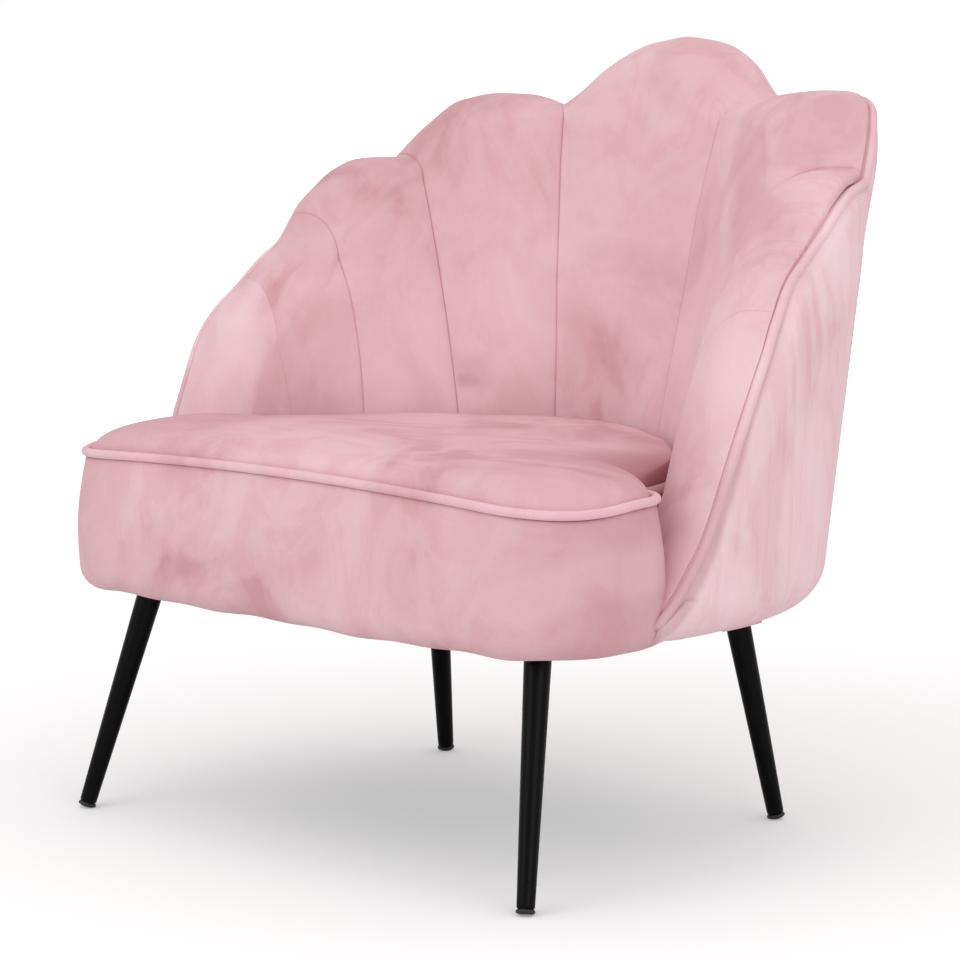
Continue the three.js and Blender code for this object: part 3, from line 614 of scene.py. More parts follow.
@dataclass(frozen=True)
class Grained:
    """A plain hidden stuff, such as plywood, foam, zinc, plastic or felt, with its own grain."""

    name: str
    base: tuple
    other: tuple
    scale: tuple = (1.0, 1.0, 1.0)
    waves: float = 60.0
    roughness: float = 0.8
    metallic: float = 0.0
    depth: float = 0.0005

    def build(self) -> bpy.types.Material:
        """One stretched noise blends two tones and gives the bump."""
        recipe = Recipe(self.name)
        grain = recipe.noise(recipe.stretched(self.scale), self.waves, 4.0, 0.6, 0.3)
        recipe.set(recipe.shader, Base_Color=recipe.ramp(grain, (0.35, self.base), (0.65, self.other)),
                   Normal=recipe.bump(grain, 0.3, self.depth), Roughness=self.roughness, Metallic=self.metallic)
        return recipe.material


class Finishes:
    """Every finish of the chair, built once."""

    def __init__(self) -> None:
        """Builds the materials."""
        self.velvet = Velvet().build()
        # The brushed copy is paler than the main velvet: painted light on the outer panel, with real brush strokes.
        # The piping copy is paler too: painted light on the round cord.
        self.brushed_lit = Velvet(
            "pink_velvet_brushed_lit", linear(241, 208, 214), linear(234, 196, 203), linear(243, 213, 219),
            streaks=(2.6, 2.6, 0.30), stroke_waves=13.0, contrast=1.0, marks=(0.44, 0.505, 0.53)).build()
        self.piping = Velvet(
            "pink_velvet_piping", linear(233, 190, 197), linear(226, 180, 188), linear(241, 202, 210)).build()
        self.steel = PaintedSteel().build()
        self.plastic = Grained(
            "black_plastic", linear(22, 22, 22), linear(34, 33, 32), waves=240.0, roughness=0.55).build()
        self.plywood = Grained(
            "plywood", linear(205, 172, 124), linear(178, 140, 94), (1, 9, 9), 14.0, 0.75).build()
        self.foam = Grained(
            "foam", linear(236, 229, 205), linear(222, 214, 186), waves=380.0, roughness=0.95).build()
        self.zinc = Grained("zinc", linear(176, 178, 180), linear(150, 153, 156), waves=90.0, roughness=0.38,
                            metallic=1.0).build()
        self.felt = Grained(
            "black_felt", linear(26, 26, 27), linear(40, 40, 41), waves=520.0, roughness=0.95).build()

    def dress_frame(self) -> None:
        """Gives every node of the model its slot's finish."""
        by_slot = {"plywood": self.plywood, "foam": self.foam, "wadding": self.foam, "zinc_steel": self.zinc,
                   "black_felt": self.felt, "black_plastic": self.plastic, "black_steel": self.steel,
                   "velvet": self.velvet}
        for entry in frame["record"]["subparts"]:
            dress(frame["nodes"][entry["node"]], by_slot[entry["material_slot"]])


def dress(piece: bpy.types.Object, material: bpy.types.Material) -> None:
    """Gives a piece or a node one material."""
    piece.data.materials.clear()
    piece.data.materials.append(material)


def shade(piece: bpy.types.Object, tone: np.ndarray) -> None:
    """Stores a tone for each vertex, which the velvet reads: below 0 is darker and above 0 is paler."""
    values = np.zeros(len(piece.data.vertices), dtype=np.float32)
    values[:tone.size] = tone.ravel()
    piece.data.attributes.new("tone", "FLOAT", "POINT").data.foreach_set("value", values)


def settle(piece: bpy.types.Object, material: bpy.types.Material, node: str) -> None:
    """Dresses a piece, lets it ride on the chair and hides the node that it stands for.

    Args:
        piece: the object.
        material: its finish.
        node: name of the node that it replaces.
    """
    dress(piece, material)
    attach(piece, "root")
    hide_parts(node)
    LOG.info("%s: %d faces", piece.name, len(piece.data.polygons))


# ---- the channelled back ----


@dataclass(frozen=True)
class Seam:
    """A sewn line between two channels, by its turns at the seat, at the top of the face and on the rim.

    bend is the power by which it goes over from the first turn to the second. crease is how deep the pads fall to
    it on the face, from 0 to 1, and rim_crease the same on the roll. spread is the share of a pad's width over
    which the fall takes place, and roll how high the pads' roll is at the seam.
    """

    foot: float
    top: float
    rim: float
    bend: float
    crease: float
    rim_crease: float
    spread: float = 0.5
    roll: float = 0.014


@dataclass
class Channel:
    """One padded channel between two seams, or between a seam and the arm's end.

    highlight_band is the height and the reach of a band of painted highlight, and tone a painted light over the
    whole channel. Each of marks is a darker, pressed place: its share across, height, half width, half height and
    depth.
    """

    node: str
    side: Side
    low: Seam
    high: Seam
    foot_z: float = 0.2846
    seat_z: float = 0.2846
    back_inset: float = 0.0273
    foot_thickness: float = 0.048
    rim_thickness: float = 0.037
    crown: float = 0.011
    roundness: float = 2.4
    roll_height: float = 0.042
    roll_limit: float = 0.8
    least_roll: float = 0.002
    least_height: float = 0.004
    crest_skew: float = 1.7
    crest_drop: float = 0.006
    crest_drop_turns: tuple = (0.73, 0.80)
    puff_up: float = 0.0
    back_drop: float = 0.006
    least_drop: float = 0.001
    edge_inset: float = 0.0103
    board_top: float = 0.013
    groove: float = 0.0035
    short_wave: float = 0.0006
    long_wave: float = 0.0012
    pucker_depth: float = 0.0
    pucker_waves: float = 470.0
    pucker_places: tuple = ((0.630, 0.026), (0.700, 0.018), (0.765, 0.020))
    tone: float = 0.0
    top_shade: float = 0.0
    seam_shade_tone: float = 0.4
    seam_shade_width: float = 0.0016
    highlight_tone: float = 0.42
    highlight_band: tuple = (0.49, 0.085)
    marks: tuple = ()
    columns: int = 56
    rows: int = 72
    roll_rows: int = 30
    lip_rows: int = 8

    def rise(self, across: np.ndarray, share: np.ndarray, on_roll: float) -> np.ndarray:
        """How full the pad is between its two seams, from 0 at a sharp seam to 1 in the middle.

        From each seam the pad rises by (1 - (1 - t)^2.4)^0.5 of the share t of its spread, less where the seam's
        crease is under 1. The crease blends from the face's to the roll's over the top quarter of the face.

        Args:
            across: share of the width, 0 at the low seam.
            share: height share.
            on_roll: 1 on the roll and 0 on the face.

        Returns:
            The rise.
        """
        full = 1.0
        near_rim = np.maximum(smooth(0.72, 0.98, share), on_roll)
        for seam, distance in ((self.low, across), (self.high, 1.0 - across)):
            t = np.clip(distance / seam.spread, 0.0, 1.0)
            fall = 1.0 - np.sqrt(np.maximum(1.0 - (1.0 - t) ** self.roundness, 0.0))
            full = full - fall * mix(seam.crease, seam.rim_crease, near_rim)
        return full

    def waves(self, turn: np.ndarray, share: np.ndarray) -> np.ndarray:
        """Rise of the fabric's waves on the face, short and long products of sines that fade at foot and rim."""
        short = np.sin(turn * 31.0 + share * 7.0) * np.sin(share * 17.0 - turn * 9.0)
        slow = np.sin(turn * 13.0 - share * 5.0 + 1.3) * np.sin(share * 6.0 + turn * 4.0)
        return (self.short_wave * short + self.long_wave * slow) * np.sin(np.pi * np.clip(share, 0, 1)) ** 0.5

    def puckers(self, rim: np.ndarray) -> np.ndarray:
        """Fine gathers where the cloth is eased round the rim: sines along it, under a bell at each place."""
        place = np.abs(rim)
        near = sum(bell(place, at, reach) for at, reach in self.pucker_places)
        return self.pucker_depth * np.sin(place * self.pucker_waves + 1.7 * np.sin(place * 61.0)) * near

    def sheets(self) -> tuple[np.ndarray, np.ndarray]:
        """The front and the back of the pad.

        A line across the pad runs from its foot turn to its top turn, by the height share to the power of its
        bend. The front stands off the board by a thickness that shrinks upwards, plus the extra fill and the
        crown. Near the rim it rolls over on half an oval, while its turn goes on to the rim turn, down to the
        piping behind. Beside its neighbour the pad takes its shares from the same height over the seat, so that
        the two meet also where one of them reaches lower.

        Returns:
            Two grids of points with the same shape.
        """
        even = np.linspace(0, 1, self.columns + 1)
        u = mix((1.0 - np.cos(even * np.pi)) / 2.0, even, 0.4)[:, None]
        foot, top, rim = (mix(start, end, u) * self.side.value for start, end in (
            (self.low.foot, self.high.foot), (self.low.top, self.high.top), (self.low.rim, self.high.rim)))
        slant = PLAN.slant(rim)
        low_crest = self.crest_drop * smooth(*self.crest_drop_turns, np.abs(rim)) * slant
        swell = self.puff_up * np.sin(np.pi * u)
        rim_z = PLAN.rim(rim) - low_crest + swell
        height = np.maximum(rim_z - self.foot_z, self.least_height)
        seat_height = np.maximum(rim_z - self.seat_z, self.least_height)
        roll = self.roll_height + 0.0 * u
        for seam, distance in ((self.low, u), (self.high, 1.0 - u)):
            roll = roll + (1.0 - smooth(0.0, seam.spread, distance)) * (seam.roll - self.roll_height)
        roll = np.minimum(roll * slant, self.roll_limit * (rim_z - self.seat_z))
        roll = np.maximum(roll, self.least_roll)
        roll_share = 1.0 - roll / height
        own_share = row(self.rows + 1) * roll_share
        z = mix(self.foot_z, rim_z, own_share)
        seat_share = np.clip((z - self.seat_z) / seat_height, 0.0, 1.0)
        own = smooth(0.0, 0.5, u) if self.foot_z < self.seat_z else 0.0 * u
        done = mix(seat_share / np.maximum(1.0 - roll / seat_height, TINY), own_share / np.maximum(roll_share, TINY),
                   own)
        turn = mix(foot, top, np.clip(done, 0.0, 1.0) ** mix(self.low.bend, self.high.bend, u))
        share = mix(seat_share, own_share, own)
        face = self.back_inset + mix(self.foot_thickness, self.rim_thickness, share) + PLAN.fill(turn, share)
        face = face + self.crown * self.rise(u, share, 0.0) + self.waves(turn, share)

        theta = np.linspace(0, np.pi, self.roll_rows + 1)[None, 1:]
        over = 1.0 - ((1.0 + np.cos(theta)) / 2.0) ** self.crest_skew
        drop = np.where(theta < np.pi / 2, roll, self.back_drop * slant + swell)
        drop = np.maximum(drop - low_crest * (theta >= np.pi / 2), self.least_drop)
        sink = self.groove * (1.0 - self.rise(u, 1.0, 1.0)) * np.sin(theta) ** 2
        sink = sink + self.puckers(rim) * np.sin(theta) * smooth(0.25, 0.75, over)
        rolled = np.clip(1.0 - (drop * (1.0 - np.sin(theta)) + sink) / height, 0.0, 1.0)
        back_edge = self.edge_inset + PLAN.lean(rim) + PLAN.gather(rim)
        front = PLAN.point(np.concatenate([turn, mix(turn[:, -1:], rim, over)], axis=1),
                           np.concatenate([z, mix(self.foot_z, rim_z, rolled)], axis=1),
                           np.concatenate([face, mix(face[:, -1:], back_edge, over)], axis=1))

        board_top = np.clip(1.0 - self.board_top / height, 0.0, 1.0)
        lip = row(self.lip_rows + 1)[:, 1:]
        up_board = row(self.rows + self.roll_rows - self.lip_rows + 1) * board_top
        inset = np.concatenate([0.0 * up_board + self.back_inset, mix(self.back_inset, back_edge, lip)], axis=1)
        up = np.concatenate([up_board, board_top + 0.0 * lip], axis=1)
        return front, PLAN.point(mix(foot, rim, up**3), mix(self.foot_z, rim_z, up), inset)

    def tones(self, front: np.ndarray) -> np.ndarray:
        """Tones of the front: painted light over the whole channel, painted shade as a thin dark line along each
        seam's crease, a band of painted highlight, painted shade at the top and the pressed marks.

        Line and band are bell curves. A mark is e^-(a^6 + b^6) of the shares a and b of its half width and height.

        Args:
            front: the front's points.

        Returns:
            A tone from -1 to 1 for each point.
        """
        # painted shade: a thin dark line along each seam, as deep as the seam's crease
        line = np.zeros(front.shape[:2])
        for seam, edge in ((self.low, front[:1]), (self.high, front[-1:])):
            distance = np.linalg.norm(front - edge, axis=2)
            line = np.maximum(line, seam.crease * bell(distance, 0.0, self.seam_shade_width))
        # painted highlight: a paler band at one height
        tone = self.highlight_tone * bell(front[..., 2], *self.highlight_band)
        # painted shade that darkens the top of the channel
        tone = tone - self.top_shade * smooth(0.45, 0.75, row(front.shape[1]))
        across = row(front.shape[0]).T
        for place, z, half_width, half_height, depth in self.marks:
            away = ((across - place) / half_width) ** 6 + ((front[..., 2] - z) / half_height) ** 6
            tone = tone - depth * np.exp(-away)
        return np.clip(self.tone - self.seam_shade_tone * line + tone, -1.0, 1.0)

    def build(self, finishes: Finishes) -> None:
        """Makes the channel's closed body and lets it stand for its node."""
        front, back = self.sheets()
        piece = slab_object(f"velvet_{self.node}", front, back)
        shade(piece, self.tones(front))
        settle(piece, finishes.velvet, self.node)


@dataclass
class ChannelledBack:
    """All nine channels, which share their seams.

    On the right the outer seams are drawn softly, and the cloth swells over the rim and is gathered there. Painted
    light lifts the right channels and the right arm, and painted shade darkens the tops of the left channels. The
    tuples hold a value for each of the three channels beside the middle one.
    """

    first: Seam = Seam(0.136, 0.222, 0.285, 0.95, 0.65, 0.7, roll=0.018)
    first_right: Seam = Seam(0.250, 0.176, 0.250, 0.70, 0.65, 0.7, roll=0.022)
    left: tuple = (
        Seam(0.386, 0.505, 0.547, 1.15, 0.55, 0.7, roll=0.022),
        Seam(0.658, 0.698, 0.745, 4.0, 0.4, 0.5, roll=0.030),
        Seam(0.822, 0.858, 0.847, 2.2, 0.08, 0.15, roll=0.052),
    )
    right: tuple = (
        Seam(0.440, 0.512, 0.545, 1.15, 0.5, 0.35, roll=0.030),
        Seam(0.658, 0.698, 0.745, 4.0, 0.12, 0.04, roll=0.044),
        Seam(0.822, 0.858, 0.847, 2.2, 0.03, 0.0, roll=0.060),
    )
    arm_end: Seam = Seam(0.93, 1.125, 1.125, 1.0, 0.6, 0.6, spread=0.2)
    arm_foot: float = 0.245
    arm_roll: float = 0.068
    right_arm_lit_tone: float = 0.10
    middle_highlight_band: tuple = (0.58, 0.085)
    pressed: tuple = ((0.78, 0.446, 0.20, 0.019, 0.42), (0.82, 0.434, 0.13, 0.008, 0.25))
    left_top_shades: tuple = (0.16, 0.20, 0.30)
    right_lit_tones: tuple = (0.20, 0.10, 0.10)
    right_swells: tuple = (0.0, 0.008, 0.003)
    right_puckers: tuple = (0.0, 0.0022, 0.0022)
    fine_columns: int = 120
    wide_columns: int = 90

    def looks(self, side: Side, lobe: int) -> dict:
        """What sets one channel beside the middle apart, as arguments for Channel."""
        if side is Side.LEFT:
            return {"top_shade": self.left_top_shades[lobe], "marks": () if lobe else self.pressed}
        fine = {"columns": self.fine_columns} if lobe else {}
        # tone: painted light on the right channels
        return {"tone": self.right_lit_tones[lobe], "puff_up": self.right_swells[lobe],
                "pucker_depth": self.right_puckers[lobe], **fine}

    def build(self, finishes: Finishes) -> None:
        """Builds the middle channel, three beside it on each side, and the arms' channels."""
        opposite = replace(self.first, foot=-self.first.foot, top=-self.first.top, rim=-self.first.rim)
        Channel("back_channel_middle", Side.RIGHT, opposite, self.first_right, highlight_band=self.middle_highlight_band,
                columns=self.wide_columns).build(finishes)
        for side, seams in ((Side.LEFT, (self.first, *self.left)), (Side.RIGHT, (self.first_right, *self.right))):
            name = side.name.lower()
            for lobe, (low, high) in enumerate(zip(seams, seams[1:])):
                Channel(f"back_channel_{name}_{lobe + 1}", side, low, high, **self.looks(side, lobe)).build(finishes)
            Channel(f"arm_channel_{name}", side, seams[-1], self.arm_end, foot_z=self.arm_foot,
                    roll_height=self.arm_roll, roll_limit=0.9, columns=self.wide_columns,
                    tone=self.right_arm_lit_tone if side is Side.RIGHT else 0.0).build(finishes)


# ---- the outside of the shell ----


@dataclass
class ShellOutside:
    """Velvet over the outside of the tub, turned under its bottom edge, and the piping along its rim."""

    end_turn: float = 1.115
    turns: int = 481
    bottom_radius: float = 0.045
    bottom_share: float = 0.55
    least_radius: float = 0.002
    thickness: float = 0.008
    foot_lift: float = 0.008
    turn_under: float = 0.002
    top_drop: float = 0.008
    strip_width: float = 0.017
    strip_sink: float = 0.0052
    strip_shade_tone: float = -0.45
    wadding_end: float = 1.07
    wadding_foot: float = 0.282
    wadding_drop: float = 0.017
    wadding_inner: float = 0.0170
    wadding_gap: float = 0.0003
    wadding_least: float = 0.0015
    board_end: float = 1.05
    board_room: float = 0.0060
    board_foot: float = 0.262
    board_drop: float = 0.018
    board_least: float = 0.004
    board_insets: tuple = (0.0176, 0.0268)
    piping_radius: float = 0.0047
    piping_drop: float = 0.0104
    piping_inset: float = 0.005
    piping_sides: int = 16
    tail_reach: tuple = (-0.030, 0.002, -0.004)
    tail_fall: float = -0.004

    def outer_sheet(self, turn: np.ndarray, depth: float) -> np.ndarray:
        """Columns of the cover from its turned-under edge up to the piping.

        A quarter circle turns the bottom edge, then the cover stands upright. Within the strip below the piping
        it sinks by up to 5 mm: a smooth step of the distance below the rim.

        Args:
            turn: turns of the columns, as a column vector.
            depth: distance in from the outer face.

        Returns:
            A grid of points.
        """
        foot_z = PLAN.foot_z + self.foot_lift
        radius = np.minimum(self.bottom_radius, self.bottom_share * (PLAN.rim(turn) - foot_z))
        reach = np.maximum(radius - depth, self.least_radius)
        angle = np.linspace(0, np.pi / 2, 13)[None, :]
        foot_inset = PLAN.drawn_in(turn, foot_z) + radius
        under_inset = foot_inset + self.turn_under
        share = np.concatenate([np.linspace(0, 0.8, 40), np.linspace(0.8, 1, 40)[1:]])[None, 1:]
        z = mix(foot_z + radius, PLAN.below_rim(turn, self.top_drop), share)
        width = self.strip_width * (1.0 + 0.5 * smooth(0.7, 1.0, np.abs(turn)))
        below = (PLAN.rim(turn) - z) / PLAN.slant(turn) / width
        sink = self.strip_sink * (1.0 - smooth(0.6, 1.35, below)) * (0.75 + 0.25 * smooth(0.0, 0.8, below))
        inset = depth + sink + PLAN.lean(turn) * PLAN.near_rim(turn, z) ** 2 + PLAN.drawn_in(turn, z)
        all_inset = np.concatenate([under_inset, foot_inset - reach * np.sin(angle), inset], axis=1)
        all_z = np.concatenate([foot_z + depth + 0.0 * under_inset, foot_z + radius - reach * np.cos(angle), z],
                               axis=1)
        return PLAN.point(turn, all_z, all_inset)

    def build_wadding(self, finishes: Finishes) -> None:
        """Soft wadding between the board and the cover: it follows the cover and thins where the rim leans in."""
        turn = np.linspace(-self.wadding_end, self.wadding_end, 241)[:, None]
        z = mix(self.wadding_foot, PLAN.below_rim(turn, self.wadding_drop), row(48))
        near = PLAN.near_rim(turn, z)
        lean = PLAN.lean(turn) * near**2 + self.strip_sink * smooth(0.55, 0.95, near)
        outer = self.thickness + self.wadding_gap + np.maximum(lean, 0.0) + PLAN.drawn_in(turn, z)
        inner = np.maximum(self.wadding_inner, outer + self.wadding_least)
        inner = inner + 0.0004 * np.sin(turn * 57.0) * np.sin(z * 83.0)
        piece = slab_object("soft_wadding", PLAN.point(turn, z, outer), PLAN.point(turn, z, inner))
        settle(piece, finishes.foam, "shell_wadding")

    def build_board(self, finishes: Finishes) -> None:
        """The bent board between the wadding and the pads. Its top stays under the rim, lower where that leans in."""
        turn = np.linspace(-self.board_end, self.board_end, 301)[:, None]
        lean = np.maximum(PLAN.lean(turn) + PLAN.gather(turn), self.board_room)
        low = PLAN.lean_height * (1.0 - np.sqrt(self.board_room / lean))
        top = PLAN.rim(turn) - np.maximum(low, self.board_drop * PLAN.slant(turn))
        z = mix(self.board_foot, np.maximum(top, self.board_foot + self.board_least), row(40))
        piece = slab_object("bent_board", *(PLAN.point(turn, z, inset) for inset in self.board_insets))
        settle(piece, finishes.plywood, "shell_board")

    def build_cover(self, finishes: Finishes) -> None:
        """The cover, with a darker strip along the piping at the sides and the arms."""
        turn = np.linspace(-self.end_turn, self.end_turn, self.turns)[:, None]
        outside = self.outer_sheet(turn, 0.0)
        cover = slab_object("velvet_outer_shell", outside, self.outer_sheet(turn, self.thickness))
        below = (PLAN.rim(turn) - outside[..., 2]) / PLAN.slant(turn)
        width = self.strip_width * (0.7 + 0.8 * smooth(0.75, 1.0, np.abs(turn)))
        # painted shade on the sunken strip beside the piping
        strip = (1.0 - smooth(0.85, 1.15, below / width)) * smooth(0.66, 0.84, np.abs(turn))
        shade(cover, self.strip_shade_tone * strip)
        settle(cover, finishes.brushed_lit, "outer_shell_cover")

    def build_piping(self, finishes: Finishes) -> None:
        """A round cord cover along the rim, whose two ends turn in to the seat block. It darkens towards them."""
        turn = np.linspace(-self.end_turn, self.end_turn, 700)
        line = PLAN.point(turn, PLAN.below_rim(turn, self.piping_drop),
                          self.piping_inset + PLAN.lean(turn) + PLAN.gather(turn))
        tail = np.linspace(0, 1, 14)[1:, None]
        curl = line[-1] + np.array(self.tail_reach) * np.sin(tail * np.pi / 2)
        curl = curl + np.array([0.0, 0.0, self.tail_fall]) * tail
        start = curl[::-1] * np.array([-1.0, 1.0, 1.0])
        path = along_path(np.concatenate([start, line, curl]), 900, closed=False)
        sections = tube_sections(path, self.piping_radius, self.piping_sides, closed=False)
        piece = ring_object("velvet_rim_piping", sections, closed_path=False)
        # painted light on the piping's upper run and painted shade lower down, towards its ends by the seat
        tone = mix(0.25, -0.45, 1.0 - smooth(0.36, 0.52, path[:, 2]))
        shade(piece, np.repeat(tone, self.piping_sides))
        settle(piece, finishes.piping, "rim_piping")

    def build(self, finishes: Finishes) -> None:
        """Makes the board, the wadding, the cover and the rim piping."""
        self.build_board(finishes)
        self.build_wadding(finishes)
        self.build_cover(finishes)
        self.build_piping(finishes)


# ---- the seat block ----


@dataclass
class SeatBlock:
    """The box seat: border, piping and crowned top, all on one outline."""

    half_width: float = 0.370
    front: float = 0.206
    rear: float = 0.030
    front_radius: float = 0.096
    rear_radius: float = 0.044
    waist_radius: float = 0.012
    back_inset: float = 0.0878
    top_z: float = 0.381
    foot_z: float = 0.2355
    board_z: float = 0.2616
    foot_radius: float = 0.024
    foot_lip: float = 0.032
    swell: float = 0.0035
    middle_rise: float = 0.0025
    corner_sag: float = 0.0105
    right_lift: float = 0.004
    draw_in: float = 0.008
    lining: tuple = ((0.032, 0.2428), (0.016, 0.2434), (0.0125, 0.256), (0.011, 0.29), (0.018, 0.381))
    crown: float = 0.030
    crown_foot: float = 0.003
    rear_lift: float = 0.017
    rear_fall: float = 0.009
    piping_radius: float = 0.0047
    piping_sides: int = 16
    piping_hide: float = 0.012
    gap: float = 0.0004
    core: tuple = ((0.0210, 0.3194), (0.0194, 0.3212), (0.0190, 0.3260), (0.0182, 0.3500), (0.0190, 0.3740),
                   (0.0202, 0.3788), (0.0235, 0.3807))
    felt_lift: float = 0.0078
    felt_sag: float = 0.0009
    felt_step: float = 0.03

    def outline(self) -> np.ndarray:
        """Plan of the block at its top edge, counted against the clock from the middle of the front.

        Arcs round the front corners, the rear corners and the waist, then the plan of the back, set in.

        Returns:
            Points with x and y.
        """
        def arc(x: float, y: float, radius: float, start: float, end: float, count: int) -> np.ndarray:
            """Points of a circle's arc, in degrees."""
            angle = np.radians(np.linspace(start, end, count))
            return np.stack([x + radius * np.cos(angle), y + radius * np.sin(angle)], 1)

        turn = np.linspace(1, 0, 90)
        behind_pads = PLAN.point(turn, self.top_z, self.back_inset + PLAN.fill(turn, 0.0))[:, :2]
        behind_pads = behind_pads - np.array([0, CENTRE_Y])
        front_x = self.half_width - self.front_radius
        half = np.concatenate([
            np.stack([np.linspace(0, front_x, 40), np.full(40, -self.front)], 1),
            arc(front_x, self.front_radius - self.front, self.front_radius, -90, 0, 40),
            arc(self.half_width - self.rear_radius, -self.rear - self.rear_radius, self.rear_radius, 0, 90, 24),
            arc(behind_pads[0, 0] + self.waist_radius, self.waist_radius - self.rear, self.waist_radius, 270, 180,
                10),
            behind_pads])
        keep = np.concatenate([[True], np.linalg.norm(np.diff(half, axis=0), axis=1) > 1e-4])
        half = half[keep]
        return np.concatenate([half, half[-2:0:-1] * np.array([-1.0, 1.0])]) + np.array([0, CENTRE_Y])

    @staticmethod
    def inset(ring: np.ndarray, distance: float) -> np.ndarray:
        """The ring moved inwards along its own normals."""
        along = np.roll(ring, -1, axis=0) - np.roll(ring, 1, axis=0)
        along /= np.linalg.norm(along, axis=1, keepdims=True)
        return ring + distance * np.stack([-along[:, 1], along[:, 0]], 1)

    @staticmethod
    def even(ring: np.ndarray, count: int) -> np.ndarray:
        """A closed ring resampled to even steps, as points with z = 0."""
        return along_path(np.concatenate([ring, np.zeros((len(ring), 1))], axis=1), count, closed=True)

    def edge_lift(self, points: np.ndarray) -> np.ndarray:
        """How far the top edge stands off its level.

        It is 2.5 mm up in the middle of the front, less towards the back, and down with the square of the distance
        to the side.
        """
        back = smooth(-0.29, -0.17, points[..., 1])
        side = (points[..., 0] / 0.34) ** 2
        return self.middle_rise * (1.0 - back) - self.corner_sag * side * (1.0 - 0.78 * back)

    def build_border(self, finishes: Finishes) -> None:
        """The border's section swept round the outline: upright with a slight swell, then turned under.

        Behind the pads it ends on the seat's board. Its bottom edge waves a little and rises to the right.
        """
        base = self.even(self.outline(), 640)
        t = np.linspace(0, 1, 28)
        swell = self.swell * np.sin(t * np.pi) - self.draw_in * (1.0 - t) ** 1.6
        round_z = self.foot_z + self.foot_radius
        angle = np.linspace(0, np.pi / 2, 12)[1:]
        lining_inset, lining_z = np.array(self.lining).T
        insets = np.concatenate([-swell, self.foot_radius * (1.0 - np.cos(angle)), [self.foot_lip], lining_inset])
        heights = np.concatenate([mix(self.top_z, round_z, t), round_z - self.foot_radius * np.sin(angle),
                                  [self.foot_z], lining_z])
        behind = smooth(-0.01, 0.01, base[:, 1] - CENTRE_Y)[:, None]
        lifted = self.top_z - (self.top_z - heights) * (self.top_z - self.board_z) / (self.top_z - self.foot_z)
        z = mix(heights[None, :], lifted[None, :], behind)
        low = 0.0016 * np.sin(base[:, 0] * 46.0 + 0.8) * np.sin(base[:, 0] * 17.0)
        low = low + self.right_lift * smooth(0.12, 0.33, base[:, 0])
        z = z + low[:, None] * (1.0 - smooth(0.24, 0.32, z)) * (1.0 - behind)
        z = z + self.edge_lift(base)[:, None] * smooth(0.26, self.top_z, z)
        rings = np.stack([self.inset(base[:, :2], float(value)) for value in insets], axis=1)
        piece = ring_object("velvet_seat_border", np.concatenate([rings, z[..., None]], axis=2), closed_path=True)
        x = rings[..., 0]
        # painted shade that darkens the border towards its sides, deeper in a wavy stripe pattern
        uneven = smooth(-0.2, 0.8, np.sin(31.0 * x + 3.0 * np.sin(30.0 * z)))
        shade(piece, -(0.30 + 0.14 * uneven) * smooth(0.20, 0.36, np.abs(x)))
        settle(piece, finishes.velvet, "seat_border")

    def build_piping(self, finishes: Finishes) -> None:
        """A round cord cover round the top of the border, lower and darker where it runs behind the waist."""
        path = self.even(self.inset(self.outline(), self.draw_in), 760)
        behind = smooth(-0.034, -0.010, path[:, 1] - CENTRE_Y)
        path[:, 2] = self.top_z + self.piping_radius + self.gap + self.edge_lift(path) - self.piping_hide * behind
        sections = tube_sections(path, self.piping_radius, self.piping_sides, closed=True)
        piece = ring_object("velvet_seat_piping", sections, closed_path=True)
        # painted shade: a little all round, and deep where the piping runs behind the waist
        shade(piece, np.repeat(-0.15 - 0.85 * behind, self.piping_sides))
        settle(piece, finishes.piping, "seat_piping")

    def build_top(self, finishes: Finishes) -> None:
        """Rings that shrink to the middle of the seat while they rise, closed by a flat underside.

        The top is full by (1 - share^9)^0.5, where share is 1 at the edge. At the rear the edge is lifted and the
        crown is lower. Painted shade darkens the cloth at the sides, more on the left, and deeply in the rear corners
        by the arms.
        """
        edge = self.even(self.inset(self.outline(), self.draw_in + self.piping_radius + 0.0008), 400)
        centre = np.array([0.0, CENTRE_Y - 0.12 * self.front, 0.0])
        share = np.concatenate([1.0 - np.linspace(0, 1, 26) ** 2 * 0.25, np.linspace(0.75, 0.0, 26)[1:]])[:, None]
        rings = centre + (edge - centre)[None] * share[..., None]
        rear = smooth(-0.04, 0.10, rings[..., 1] - CENTRE_Y)
        full = np.sqrt(np.maximum(1.0 - share**9, 0.0))
        edge_shift = self.edge_lift(edge)[None]
        rings[..., 2] = self.top_z + self.crown_foot + edge_shift * share**6
        rings[..., 2] += mix(self.rear_lift * rear, self.crown - self.rear_fall * rear, full)
        under = np.array([0.0, 0.6, 1.0])[:, None]
        bottom = centre + (edge - centre)[None] * under[..., None]
        bottom[..., 2] = self.top_z + self.gap + edge_shift * under
        sections = np.concatenate([bottom[1:], rings[:-1]])
        piece = ring_object("velvet_seat_top", sections, closed_path=False, ends=(bottom[0, 0], rings[-1, 0]))
        x, y = sections[..., 0], sections[..., 1]
        # painted shade: deep in the rear corners by the arms, lighter at the sides and more on the left
        corner_shade = smooth(0.16, 0.30, np.abs(x)) * smooth(-0.20, -0.10, y)
        shade(piece, -0.95 * corner_shade - 0.22 * smooth(0.05, 0.3, np.abs(x)) - 0.16 * smooth(-0.08, -0.24, x))
        settle(piece, finishes.velvet, "seat_top_pad")

    def build_core(self, finishes: Finishes) -> None:
        """The foam block under the top: rings of the outline from its flat foot up to a softly rounded top edge."""
        ring = self.even(self.outline(), 320)[:, :2]
        rings = [np.column_stack([self.inset(ring, inset), np.full(len(ring), z)]) for inset, z in self.core]
        piece = ring_object("foam_block", np.stack(rings), closed_path=False)
        settle(piece, finishes.foam, "seat_foam_core")

